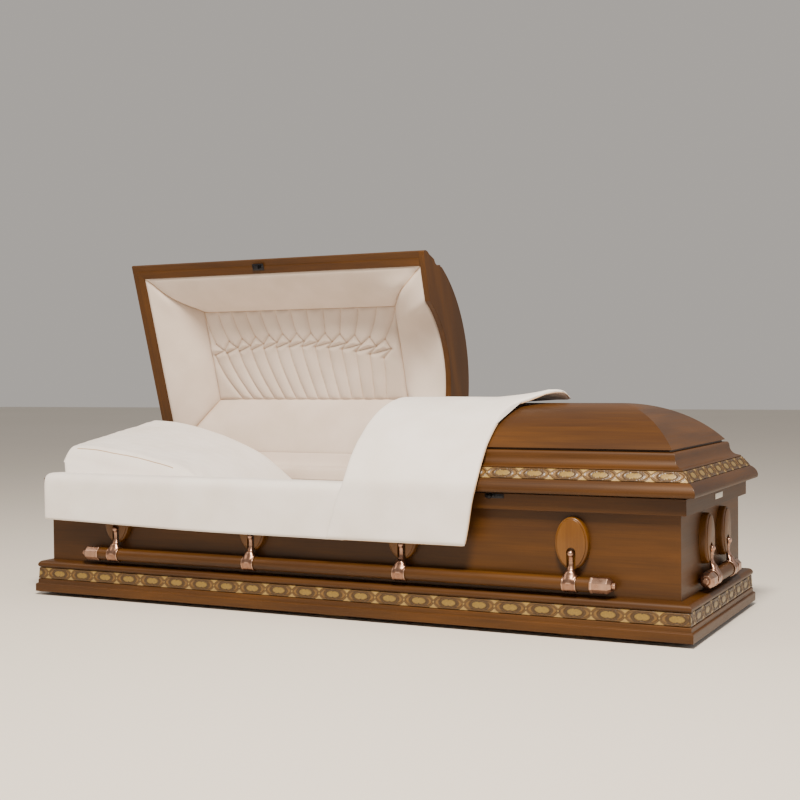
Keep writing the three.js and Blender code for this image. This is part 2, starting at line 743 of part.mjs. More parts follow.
// The throw: laid over the foot lid's ridge, hanging down the front past the rail.
// Each station is a point under the cloth, with the cloth's left and right edges there.
function footThrow() {
  const centre = CROWN_TOP - SIDE_RADIUS;
  const onCrown = (y, left, right, lift) => {
    const z = centre + Math.sqrt((SIDE_RADIUS + THROW_CLEARANCE) ** 2 - y * y);
    return { y, z: z + lift, left, right, out: [y / SIDE_RADIUS, (z - centre) / SIDE_RADIUS] };
  };
  const stations = [
    onCrown(62, 79, 588, 0),
    onCrown(0, 79, 586, 3),
    onCrown(-62, 79, 530, 2),
    onCrown(-112, 79, 478, 0),
    onCrown(-170, 79, 476, 0),
    onCrown(-230, 79, 476, 0),
    onCrown(-280, 79, 476, 0),
    { y: -300, z: 486, left: 79, right: 477, out: [-0.72, 0.7] },
    { y: -340, z: 444, left: 80, right: 479, out: [-0.74, 0.67] },
    { y: -372, z: 404, left: 82, right: 480, out: [-0.9, 0.43] },
    { y: -380, z: 385, left: 78, right: 477, out: [-1, 0.1] },
    { y: -379.7, z: 345, left: 60, right: 467, out: [-1, 0] },
    { y: -379.7, z: 285, left: 38, right: 457, out: [-1, 0] },
    { y: -379.7, z: THROW_BOTTOM, left: 24, right: 447, out: [-1, 0] },
  ];
  return loft(stations.map(({ y, z, left, right, out }) => {
    const [outY, outZ] = [y + out[0] * CLOTH_THICK, z + out[1] * CLOTH_THICK];
    return [[left, y, z], [right, y, z], [right, outY, outZ], [left, outY, outZ]];
  }));
}
addMesh(foot.group, 'foot_throw', footThrow(), crepe);

export default casket;
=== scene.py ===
# %% [markdown]
# # A half-couch hardwood casket, dressed for its portrait
# The solids of the casket are already exact, so this lesson keeps their sizes and gives each
# piece the surface of the real one: moulded and lacquered hardwood, carved bands, copper
# handles, and soft crepe bedding. Everything is in metres, in the same frame as the solids:
# +X from head to foot, +Y towards the hinges, +Z up.

import math

import bmesh
import bpy
import numpy as np
from mathutils import Matrix, Vector


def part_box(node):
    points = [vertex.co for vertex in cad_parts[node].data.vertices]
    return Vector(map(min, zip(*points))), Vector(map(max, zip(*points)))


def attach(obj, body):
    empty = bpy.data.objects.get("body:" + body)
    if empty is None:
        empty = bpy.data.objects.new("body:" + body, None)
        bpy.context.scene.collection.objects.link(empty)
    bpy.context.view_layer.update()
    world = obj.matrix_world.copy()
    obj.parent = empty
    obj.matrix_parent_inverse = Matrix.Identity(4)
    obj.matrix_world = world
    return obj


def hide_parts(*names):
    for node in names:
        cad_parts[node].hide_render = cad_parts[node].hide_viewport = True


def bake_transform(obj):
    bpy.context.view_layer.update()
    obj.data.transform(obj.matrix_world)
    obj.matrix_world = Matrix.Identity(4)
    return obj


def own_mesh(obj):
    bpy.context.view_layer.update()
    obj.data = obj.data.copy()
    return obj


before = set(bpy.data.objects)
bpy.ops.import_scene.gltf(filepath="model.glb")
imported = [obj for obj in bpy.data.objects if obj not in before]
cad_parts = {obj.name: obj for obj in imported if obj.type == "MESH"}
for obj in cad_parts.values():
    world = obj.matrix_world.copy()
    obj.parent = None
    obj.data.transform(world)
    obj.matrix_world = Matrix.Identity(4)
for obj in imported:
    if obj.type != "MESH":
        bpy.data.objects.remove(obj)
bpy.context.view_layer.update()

# %% [markdown]
# ## The camera
# The camera is set by where a photographer stood: about four metres away, low, with the lens
# at table height, a little past the foot end, and turned towards the head. A real camera is never quite level,
# so pitch and roll are given in degrees too. The lens follows from the angle of view.

# %% Camera
STAND = Vector((1.9127, -3.6899, 0.6944))
YAW, PITCH, ROLL = (math.radians(a) for a in (26.594, 1.152, -0.535))
VIEW_WIDTH_PER_METRE = 800 / 1358.158
SENSOR = 36.0


def camera_turn(yaw, pitch, roll):
    """The camera's turn: it looks along +Y at yaw 0, and yaw turns it to the left."""
    ahead = Vector((-math.sin(yaw) * math.cos(pitch), math.cos(yaw) * math.cos(pitch), -math.sin(pitch)))
    right = Vector((math.cos(yaw), math.sin(yaw), 0))
    up = right.cross(ahead)
    tilted_right = math.cos(roll) * right + math.sin(roll) * up
    tilted_up = math.cos(roll) * up - math.sin(roll) * right
    return Matrix((tilted_right, tilted_up, -ahead)).transposed()


camera = bpy.data.objects.new("camera", bpy.data.cameras.new("camera"))
camera.data.sensor_width = SENSOR
camera.data.lens = SENSOR / VIEW_WIDTH_PER_METRE
camera.matrix_world = Matrix.Translation(STAND) @ camera_turn(YAW, PITCH, ROLL).to_4x4()
bpy.context.collection.objects.link(camera)
bpy.context.scene.camera = camera
print("lens:", round(camera.data.lens, 2), "mm")

# %% [markdown]
# ## Sizes
# A moulding is a profile that runs round the casket. Each profile point is an offset from the
# plinth's face, outwards, and a height, both in millimetres as a joiner would write them.

# %% Driving sizes, in millimetres
MM = 0.001
low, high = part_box("plinth_moulding")
HALF_L = high[0] / MM
HALF_W = high[1] / MM
GAP = 0.3
RAIL_BOTTOM, RAIL_TOP = 328.0, 370.5
LID_BOTTOM = 373.2
CROWN_BOTTOM, CROWN_TOP = 490.7, 603.5
RAIL_FACE, WALL_FACE, WALL_INSIDE = -21.7, -40.5, -59.5
LID_INSIDE, CROWN_FACE, CROWN_THICK = -40.0, -70.6, 15.0
SPLIT_X, SPLIT_GAP, HEADER_THICK = 76.5, 3.0, 19.0
HIP_RUN = 235.0
ARCH_HALF, ARCH_TOP = 207.0, 456.0
HINGE_Y, HINGE_Z = 366.5, 370.5
OPEN_ANGLE = math.radians(73)
PLINTH_BAND = ((-7.6, 51.5), (-9.6, 88.0))
LID_BAND = ((-10.8, 412.3), (-32.0, 440.8))
SEAT_DEPTH = 4.3
OVAL_PITCH = 89.8
PLINTH_FIRST_OVAL = 23.7
SIDE_HANDLE_X = -9.5
SIDE_BAR_HALF, END_BAR_HALF = 861, 177
BALL_OUT, PIVOT_Z = 24.0, 220.0
BAR_OUT, BAR_Z, BAR_RADIUS = 25.0, 142.0, 19.0
SIDE_CAP, END_CAP, CAP_RADIUS = 66, 52, 22.5
LUG_Z, LUG_WIDE, LUG_HIGH = 246.0, 46.0, 68.5
SLOT_HALF, SLOT_FLOOR, SLOT_TOP_Z = 12.5, 8.0, 223.0
print("plinth:", 2 * HALF_L, "x", 2 * HALF_W, "mm")

# %% [markdown]
# ## Stage and light
# A pale floor, a large soft lamp high at the front and a little to the right, so that the lugs
# throw their shadows down and to the left, a weak one at the left, and a weak cool one past
# the foot end, which is why that end looks greyer than the front.

# %% Colours: sRGB hex to linear light


def linear(colour):
    """Turns #rrggbb into linear red, green, blue and alpha."""
    parts = [int(colour[i:i + 2], 16) / 255 for i in (1, 3, 5)]
    return [p / 12.92 if p <= 0.04045 else ((p + 0.055) / 1.055) ** 2.4 for p in parts] + [1.0]


# %% One helper for shader nodes


def node(tree, kind, inputs=None, stops=None, **settings):
    """Adds a node. Inputs that are sockets are linked, and the others are set as values."""
    new = tree.nodes.new(kind)
    for key, value in settings.items():
        setattr(new, key, value)
    for key, value in (inputs or {}).items():
        if isinstance(value, bpy.types.NodeSocket):
            tree.links.new(value, new.inputs[key])
        else:
            new.inputs[key].default_value = value
    if stops:
        ramp = new.color_ramp.elements
        while len(ramp) < len(stops):
            ramp.new(0.5)
        for element, (position, colour) in zip(ramp, stops):
            element.position = position
            element.color = linear(colour) if isinstance(colour, str) else [colour] * 3 + [1]
    return new


def blank_material(name):
    made = bpy.data.materials.new(name)
    made.use_nodes = True
    return made, made.node_tree, made.node_tree.nodes["Principled BSDF"]


# %% Floor
floor_finish, tree, shader = blank_material("pale_floor")
floor_noise = node(tree, "ShaderNodeTexNoise", {"Scale": 6.0, "Detail": 3.0})
floor_tint = node(tree, "ShaderNodeValToRGB", {"Fac": floor_noise.outputs["Fac"]},
                  stops=[(0.3, "#d9d2c8"), (0.7, "#dfd8ce")])
tree.links.new(floor_tint.outputs["Color"], shader.inputs["Base Color"])
shader.inputs["Roughness"].default_value = 0.85
bpy.ops.mesh.primitive_plane_add(size=40)
floor = bpy.context.object
floor.name = "floor"
floor.data.materials.append(floor_finish)

# %% Lamps and sky
TARGET = Vector((0, 0, 0.35))


def lamp(name, place, width, watts, colour):
    data = bpy.data.lights.new(name, "AREA")
    data.shape = "DISK"
    data.size = width
    data.energy = watts
    data.color = linear(colour)[:3]
    made = bpy.data.objects.new(name, data)
    made.location = place
    made.rotation_euler = (TARGET - Vector(place)).to_track_quat("-Z", "Y").to_euler()
    bpy.context.collection.objects.link(made)
    return made


lamp("front_lamp", (1.45, -2.9, 4.5), 1.3, 580, "#fff3e2")
lamp("head_lamp", (-3.4, -1.6, 3.0), 2.0, 30, "#fff1e0")
lamp("foot_lamp", (4.2, 1.2, 1.2), 2.5, 24, "#dcdff0")
world = bpy.data.worlds.new("studio")
bpy.context.scene.world = world
world.use_nodes = True
world.node_tree.nodes["Background"].inputs["Color"].default_value = linear("#f3ece4")
world.node_tree.nodes["Background"].inputs["Strength"].default_value = 0.52

# %% [markdown]
# ## Mesh helpers
# Nearly every wooden piece is a skin over rings of points. The rings are made with NumPy, the
# sharp edges are eased by a millimetre as a sander would, and each corner of each face gets a
# "grain" vector: the first number runs with the wood's fibres, the other two across them.

# %% Skins over rings


def skin(rings, joined=False, caps=True):
    """Vertices and faces of a closed skin over rings of equal length."""
    rings = np.asarray(rings, float)
    count = rings.shape[1]
    spans = len(rings) if joined else len(rings) - 1
    r, i = np.meshgrid(np.arange(spans), np.arange(count), indexing="ij")
    here, after = r * count, ((r + 1) % len(rings)) * count
    j = (i + 1) % count
    quads = np.stack([here + i, after + i, after + j, here + j], axis=-1).reshape(-1, 4)
    faces = quads.tolist()
    if caps and not joined:
        faces.append(list(range(count - 1, -1, -1)))
        faces.append(list(range((len(rings) - 1) * count, len(rings) * count)))
    return rings.reshape(-1, 3), faces


def mesh_of(name, parts):
    """One mesh from several (vertices, faces) pairs, with its faces turned outwards."""
    verts, faces = [], []
    for points, polygons in parts:
        start = len(verts)
        verts.extend(map(tuple, points))
        faces.extend([[v + start for v in polygon] for polygon in polygons])
    mesh = bpy.data.meshes.new(name)
    mesh.from_pydata(verts, [], faces)
    turn_outwards(mesh)
    return mesh


def turn_outwards(mesh):
    work = bmesh.new()
    work.from_mesh(mesh)
    bmesh.ops.recalc_face_normals(work, faces=work.faces)
    work.to_mesh(mesh)
    work.free()


def ease_edges(mesh, width=1.2 * MM, steps=2, angle=32):
    """Rounds every edge that turns by more than the angle."""
    work = bmesh.new()
    work.from_mesh(mesh)
    sharp = [e for e in work.edges if e.is_manifold and e.calc_face_angle(0) > math.radians(angle)]
    bmesh.ops.bevel(work, geom=sharp, offset=width, segments=steps, profile=0.5, affect="EDGES",
                    clamp_overlap=True)
    work.to_mesh(mesh)
    work.free()


# %% Grain


def set_grain(mesh, run, shift=0.0):
    """Writes the grain vector. run is x, y or z for one plank, or mitred for a frame."""
    corners = np.empty(len(mesh.loops), dtype=np.int32)
    mesh.loops.foreach_get("vertex_index", corners)
    points = np.empty(len(mesh.vertices) * 3)
    mesh.vertices.foreach_get("co", points)
    points = points.reshape(-1, 3)[corners]
    sizes = np.empty(len(mesh.polygons), dtype=np.int32)
    mesh.polygons.foreach_get("loop_total", sizes)
    if run == "mitred":
        centres = np.empty(len(mesh.polygons) * 3)
        mesh.polygons.foreach_get("center", centres)
        centres = np.abs(centres.reshape(-1, 3))
        at_end = centres[:, 0] - HALF_L * MM > centres[:, 1] - HALF_W * MM
        across = np.repeat(at_end, sizes)
    else:
        across = np.full(len(points), run == "y")
    grain = np.where(across[:, None], points[:, [1, 0, 2]] + [7.3, 0, 0], points)
    if run == "z":
        grain = points[:, [2, 0, 1]]
    grain = grain + [shift, shift * 0.37, 0]
    layer = mesh.attributes.new("grain", "FLOAT_VECTOR", "CORNER")
    layer.data.foreach_set("vector", grain.astype(np.float32).ravel())


# %% Pieces
LID_OPEN = (Matrix.Translation((0, HINGE_Y * MM, HINGE_Z * MM)) @ Matrix.Rotation(-OPEN_ANGLE, 4, "X")
            @ Matrix.Translation((0, -HINGE_Y * MM, -HINGE_Z * MM)))


def piece(name, mesh, finish, body, stands_for=(), place=None, smooth=38):
    """Turns a mesh into a finished piece that rides on a body and stands for some solids."""
    if place is not None:
        mesh.transform(place)
    mesh.shade_smooth()
    if smooth:
        mesh.set_sharp_from_angle(angle=math.radians(smooth))
    mesh.materials.append(finish)
    made = bpy.data.objects.new(name, mesh)
    bpy.context.collection.objects.link(made)
    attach(made, body)
    if stands_for:
        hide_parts(*stands_for)
    return made


def even_normals(made):
    """Keeps broad flats flat where they meet a narrow rounded edge."""
    weighted = made.modifiers.new("even_normals", "WEIGHTED_NORMAL")
    weighted.keep_sharp = True
    return made


# %% [markdown]
# ## Lacquered hardwood
# The casket is a close-grained hardwood such as poplar or birch, stained orange-brown and
# sprayed with satin lacquer. Stain soaks in unevenly, so broad soft bands drift along each
# board, with fine streaks a few millimetres wide on top and short dark pores. The lacquer is
# a thin clear coat, smoother than the wood, and gives the soft bright lines on the edges.

# %% Wood finishes


def wood_finish(name, dark, middle, light, roughness, coat):
    """Stained wood, its fibres along the grain vector's first number."""
    made, tree, shader = blank_material(name)
    grain = node(tree, "ShaderNodeAttribute", attribute_name="grain").outputs["Vector"]

    def streaks(along, across, detail):
        """Noise stretched along the fibres, from how many waves a metre holds each way."""
        stretched = node(tree, "ShaderNodeVectorMath", {0: grain, 1: (along, across, across)},
                         operation="MULTIPLY")
        return node(tree, "ShaderNodeTexNoise",
                    {"Vector": stretched.outputs["Vector"], "Scale": 1.0, "Detail": detail,
                     "Roughness": 0.6}).outputs["Fac"]

    broad = streaks(1.6, 14, 3.0)
    fine = streaks(5, 230, 5.0)
    pores = streaks(55, 900, 2.0)
    both = node(tree, "ShaderNodeMix", {0: 0.3, 2: broad, 3: fine}, data_type="FLOAT")
    stain = node(tree, "ShaderNodeValToRGB", {"Fac": both.outputs[0]},
                 stops=[(0.28, dark), (0.5, middle), (0.74, light)])
    pore_mask = node(tree, "ShaderNodeMapRange", {"Value": pores, 1: 0.6, 2: 0.74, 3: 0.0, 4: 0.35})
    coloured = node(tree, "ShaderNodeMix", {0: pore_mask.outputs[0], 6: stain.outputs["Color"],
                                            7: linear(dark)}, data_type="RGBA")
    tree.links.new(coloured.outputs[2], shader.inputs["Base Color"])
    rough = node(tree, "ShaderNodeMapRange", {"Value": fine, 3: roughness - 0.06, 4: roughness + 0.08})
    tree.links.new(rough.outputs[0], shader.inputs["Roughness"])
    bump = node(tree, "ShaderNodeBump", {"Strength": 0.12, "Distance": 0.0003, "Height": fine})
    tree.links.new(bump.outputs["Normal"], shader.inputs["Normal"])
    shader.inputs["IOR"].default_value = 1.5
    shader.inputs["Specular IOR Level"].default_value = 0.28
    shader.inputs["Coat Weight"].default_value = coat
    shader.inputs["Coat Roughness"].default_value = 0.22
    return made


STAINED = wood_finish("stained_hardwood_satin_lacquer", "#311902", "#462803", "#5b3607", 0.46, 0.1)
LUG_WOOD = wood_finish("golden_stained_lug_wood", "#4c2c07", "#623c0c", "#7a4f17", 0.42, 0.3)
BARE_WOOD = wood_finish("bare_softwood_boards", "#8e6a3d", "#a9834f", "#c09c67", 0.75, 0.0)
print("wood finishes:", STAINED.name, LUG_WOOD.name, BARE_WOOD.name)

# %% [markdown]
# ## Crepe
# The bedding is polyester crepe over foam and wadding: matt, off-white, with a crinkle of
# about a millimetre that only shows where light rakes across it. Thread colour is uneven by
# a hair, and the nap gives a little sheen at grazing angles.

# %% Cloth finishes


def crepe_finish(name, light, shade, crinkle):
    made, tree, shader = blank_material(name)
    place = node(tree, "ShaderNodeTexCoord").outputs["Object"]
    drift = node(tree, "ShaderNodeTexNoise", {"Vector": place, "Scale": 9.0, "Detail": 4.0})
    tint = node(tree, "ShaderNodeValToRGB", {"Fac": drift.outputs["Fac"]},
                stops=[(0.3, shade), (0.65, light)])
    tree.links.new(tint.outputs["Color"], shader.inputs["Base Color"])
    threads = node(tree, "ShaderNodeTexNoise", {"Vector": place, "Scale": 420.0, "Detail": 6.0,
                                                "Roughness": 0.65, "Distortion": 0.6})
    bump = node(tree, "ShaderNodeBump", {"Strength": crinkle, "Distance": 0.0006,
                                         "Height": threads.outputs["Fac"]})
    tree.links.new(bump.outputs["Normal"], shader.inputs["Normal"])
    shader.inputs["Roughness"].default_value = 0.9
    shader.inputs["Sheen Weight"].default_value = 0.25
    shader.inputs["Sheen Roughness"].default_value = 0.5
    return made


CREPE = crepe_finish("off_white_polyester_crepe", "#f1ebe6", "#eae2db", 0.25)
# The linings use the bedding crepe made darker and browner: painted shade for the cloth inside the lid and the shell.
SHADED_LINING_CREPE = crepe_finish("lid_lining_crepe_with_painted_shade", "#d8c9bd", "#cfbfb1", 0.3)
# Tan cords: seam thread on the pads and the pillow, and painted shade along the edges of the overlay and the throw.
THREAD_AND_EDGE_SHADE = crepe_finish("tan_thread_and_painted_edge_shade", "#c9a986", "#bb9a76", 0.3)

# %% [markdown]
# ## Copper, black and ivory
# The arms and caps are cast zinc with copper plating, toned brown and brushed back, so the
# high places are pink and bright and the hollows brown. The latch parts are satin black, and
# the small plate at the foot end is moulded ivory plastic.

# %% Metal and plastic finishes


def copper_finish():
    made, tree, shader = blank_material("antiqued_copper_plating")
    place = node(tree, "ShaderNodeTexCoord").outputs["Object"]
    edge = node(tree, "ShaderNodeNewGeometry").outputs["Pointiness"]
    worn = node(tree, "ShaderNodeMapRange", {"Value": edge, 1: 0.44, 2: 0.56})
    cloud = node(tree, "ShaderNodeTexNoise", {"Vector": place, "Scale": 60.0, "Detail": 3.0})
    both = node(tree, "ShaderNodeMix", {0: 0.3, 2: worn.outputs[0], 3: cloud.outputs["Fac"]},
                data_type="FLOAT")
    tint = node(tree, "ShaderNodeValToRGB", {"Fac": both.outputs[0]},
                stops=[(0.2, "#553a2e"), (0.5, "#95705c"), (0.8, "#cba893")])
    tree.links.new(tint.outputs["Color"], shader.inputs["Base Color"])
    rough = node(tree, "ShaderNodeMapRange", {"Value": cloud.outputs["Fac"], 3: 0.22, 4: 0.36})
    tree.links.new(rough.outputs[0], shader.inputs["Roughness"])
    shader.inputs["Metallic"].default_value = 1.0
    return made


def plain_finish(name, light, shade, roughness, scale, metallic=0.0):
    made, tree, shader = blank_material(name)
    place = node(tree, "ShaderNodeTexCoord").outputs["Object"]
    cloud = node(tree, "ShaderNodeTexNoise", {"Vector": place, "Scale": scale, "Detail": 3.0})
    tint = node(tree, "ShaderNodeValToRGB", {"Fac": cloud.outputs["Fac"]},
                stops=[(0.35, shade), (0.65, light)])
    tree.links.new(tint.outputs["Color"], shader.inputs["Base Color"])
    shader.inputs["Roughness"].default_value = roughness
    shader.inputs["Metallic"].default_value = metallic
    return made


COPPER = copper_finish()
BLACKENED = plain_finish("satin_black_steel", "#2b2b30", "#1b1b1f", 0.35, 80, 0.6)
IVORY = plain_finish("moulded_ivory_plastic", "#ddd8cc", "#d3cdbf", 0.45, 40)

# %% [markdown]
# ## Mitred frames
# The plinth, walls, rail and lid mouldings are straight runs of one profile, joined at the
# corners by mitres. Sweeping the profile through the corner points gives the mitres for free,
# because every point keeps its offset on both sides of the joint.

# %% Sweeping a profile
FRAME_CORNERS = ((-1, -1), (1, -1), (1, 1), (-1, 1))


def framed(profile):
    """Rings for a profile that goes round all four sides."""
    return [[(sx * (HALF_L + o) * MM, sy * (HALF_W + o) * MM, z * MM) for o, z in profile]
            for sx, sy in FRAME_CORNERS]


def lid_run(profile, side, split_x):
    """Rings for a profile round three sides of a lid. side is -1 at the head, 1 at the foot."""
    ends = ((None, -1), (side, -1), (side, 1), (None, 1))
    return [[((split_x if sx is None else sx * (HALF_L + o)) * MM, sy * (HALF_W + o) * MM, z * MM)
             for o, z in profile] for sx, sy in ends]


def curve(*control, steps=8):
    """Points on a Bezier curve through its first and last control points."""
    points = []
    degree = len(control) - 1
    for step in range(steps + 1):
        t = step / steps
        weights = [math.comb(degree, k) * t ** k * (1 - t) ** (degree - k) for k in range(degree + 1)]
        points.append(tuple(sum(w * c[axis] for w, c in zip(weights, control)) for axis in (0, 1)))
    return points


def on_band(band, along, depth):
    """A point on an ornament band, from its lower edge, or from its upper edge if negative."""
    (o0, z0), (o1, z1) = band
    size = math.hypot(o1 - o0, z1 - z0)
    du, dv = (o1 - o0) / size, (z1 - z0) / size
    start = (o0, z0) if along >= 0 else (o1, z1)
    return (start[0] + du * along - dv * depth, start[1] + dv * along + du * depth)


def seat(band):
    return [band[0], on_band(band, 0.6, SEAT_DEPTH), on_band(band, -0.6, SEAT_DEPTH), band[1]]


# %% Carcass: walls, rail and plinth
plinth_profile = [
    (WALL_FACE + GAP, 12), (0, 12), (0, 34.5),
    *curve((0, 34.5), (-0.5, 38), (-6, 38), steps=4)[1:],
    (-6, 49.5), *seat(PLINTH_BAND),
    *curve((-7.5, 90.5), (-4.8, 92.5), (-4.8, 98), (-8, 103), steps=6),
    *curve((-8, 103), (-11.5, 108), (-20, 108.6), steps=4)[1:],
    (WALL_FACE + GAP, 111),
]


def rectangle(o0, o1, z0, z1):
    return [(o0, z0), (o1, z0), (o1, z1), (o0, z1)]


for name, profile, node_name, shift in (
        ("walls", rectangle(WALL_INSIDE, WALL_FACE, 20.3, RAIL_TOP), "carcass_walls", 1.0),
        ("rail", rectangle(WALL_FACE + GAP, RAIL_FACE, RAIL_BOTTOM, RAIL_TOP), "top_rail", 2.0),
        ("plinth", plinth_profile, "plinth_moulding", 3.0)):
    mesh = mesh_of(name, [skin(framed(profile), joined=True)])
    ease_edges(mesh)
    set_grain(mesh, "mitred", shift)
    even_normals(piece(name, mesh, STAINED, "body", [node_name]))
    print(name, len(mesh.polygons), "faces")

# %% [markdown]
# ## The lids
# Each lid has a moulded rim, a cove and a rounded crown with a hipped end. The crown's end
# rises to the same height as its sides over a shorter run, so at every height both slopes are
# on one level ring, and the hip lines appear where they meet.

# %% Lid mouldings
rim_nose = curve((5.2, 375.4), (10, 381), (8.5, 399), (-8.5, 410.4), steps=10)
cove = curve((-36, 444.3), (-55, 447.5), (-60, 466.5), steps=10)
ovolo = curve((-60, 466.5), (-60.5, 477), (-62, 484.4), (-68, 484.4), steps=6)
lid_profile = [
    (LID_INSIDE, LID_BOTTOM), (-15, LID_BOTTOM), (-15, 376.7), (1.5, 376.7),
    *rim_nose, *seat(LID_BAND), (-33, 442.6), *cove, *ovolo[1:],
    (-79, 484.6), (-79, CROWN_BOTTOM - GAP), (-93, CROWN_BOTTOM - GAP), (-93, 478), (LID_INSIDE, 394),
]

# %% Crowns
CROWN_RISE = CROWN_TOP - CROWN_BOTTOM
SIDE_RUN = HALF_W + CROWN_FACE


def arc_radius(run):
    return (run ** 2 + CROWN_RISE ** 2) / (2 * CROWN_RISE)


SIDE_RADIUS, HIP_RADIUS = arc_radius(SIDE_RUN), arc_radius(HIP_RUN)


def crown_rings(side, split_x, thick, steps=26):
    radius, centre = SIDE_RADIUS - thick, CROWN_TOP - SIDE_RADIUS
    widest = math.acos((CROWN_BOTTOM - centre) / radius)
    rings = []
    for step in range(steps):
        turn = widest * (1 - step / (steps - 0.6))
        y, z = radius * math.sin(turn), centre + radius * math.cos(turn)
        reach = math.sqrt(max((HIP_RADIUS - thick) ** 2 - (z - CROWN_TOP + HIP_RADIUS) ** 2, 0))
        x = side * (HALF_L + CROWN_FACE - HIP_RUN + reach)
        rings.append([(split_x * MM, -y * MM, z * MM), (x * MM, -y * MM, z * MM),
                      (x * MM, y * MM, z * MM), (split_x * MM, y * MM, z * MM)])
    return rings


def crown_mesh(name, side, split_x):
    """The outer and inner skins, joined by the eave, and closed against the header board."""
    outer, inner = crown_rings(side, split_x, 0), crown_rings(side, split_x, CROWN_THICK)
    points, faces = skin([*reversed(inner), *outer], caps=False)
    inner_top = list(range(4))
    outer_top = list(range(len(points) - 4, len(points)))
    return mesh_of(name, [(points, [*faces, inner_top, outer_top])])


# %% Header boards
arch_rise = ARCH_TOP - LID_BOTTOM
arch_radius = (ARCH_HALF ** 2 + arch_rise ** 2) / (2 * arch_rise)


def arch(steps=24):
    """The header's cut-out, from the back to the front, as [y, z] points."""
    half = math.asin(ARCH_HALF / arch_radius)
    turns = [half * (1 - 2 * i / steps) for i in range(steps + 1)]
    return [(arch_radius * math.sin(t), ARCH_TOP - arch_radius + arch_radius * math.cos(t)) for t in turns]


def header_outline():
    centre = CROWN_TOP - SIDE_RADIUS
    widest = math.asin(SIDE_RUN / SIDE_RADIUS)
    top = [(SIDE_RADIUS * math.sin(widest * (1 - i / 23.5)), centre + SIDE_RADIUS * math.cos(widest * (1 - i / 23.5)))
           for i in range(24)]
    half = [(HALF_W + o, z) for o, z in ((-15, LID_BOTTOM), *rim_nose, *LID_BAND, *cove, *ovolo[1:],
                                         (-74, 485), (-74, CROWN_BOTTOM - 0.4))] + top
    return half + [(-y, z) for y, z in reversed(half)] + list(reversed(arch()))


def slab(outline, x0, x1):
    """A board with an outline of [y, z] points, between two places along X."""
    return skin([[(x * MM, y * MM, z * MM) for y, z in outline] for x in (x0, x1)])


# %% Build both lids
for side, word, body, place in ((-1, "head_lid", "head_lid", LID_OPEN), (1, "foot_lid", "foot_lid", None)):
    split = SPLIT_X + side * SPLIT_GAP / 2
    butt = split + side * (HEADER_THICK + GAP)
    crown = crown_mesh(f"{word}_dome", side, butt)
    moulding = mesh_of(f"{word}_rim", [skin(lid_run(lid_profile, side, butt))])
    header = mesh_of(f"{word}_board", [slab(header_outline(), split, split + side * HEADER_THICK)])
    for mesh, run, solid in ((crown, "mitred", "crown"), (moulding, "mitred", "moulding"), (header, "y", "header")):
        ease_edges(mesh, angle=25 if solid == "crown" else 32)
        set_grain(mesh, run, 4.0 + side)
        even_normals(piece(mesh.name, mesh, STAINED, body, [f"{word}_{solid}"], place, smooth=30))
        print(mesh.name, len(mesh.polygons), "faces")

# %% [markdown]
# ## Carved bands
# The bands are a running guilloche: an oval with a double ring and a cusped gold centre, then
# two straps that cross round a small diamond. One function gives the height and the colour at
# any place of one repeat, so the same pattern runs along every side and is cut by the mitres,
# as a length of ready-made carving is. Its darkest colour is painted shade, laid in the grooves,
# round each centre, along every outline and at the band's edges.

# %% One repeat of the pattern
# The darkest ink is painted shade for the carving's grooves and outlines.
INK = {key: np.array(linear(value)[:3]) for key, value in {
    "ochre": "#765522", "crevice_shade": "#2f1c07", "strap": "#5f4114", "gold": "#84692c", "pale": "#9c7d40"}.items()}


def soft_step(distance, width=0.7):
    """1 well inside a shape, 0 well outside, from a signed distance in millimetres."""
    return np.clip(distance / width + 0.5, 0, 1)


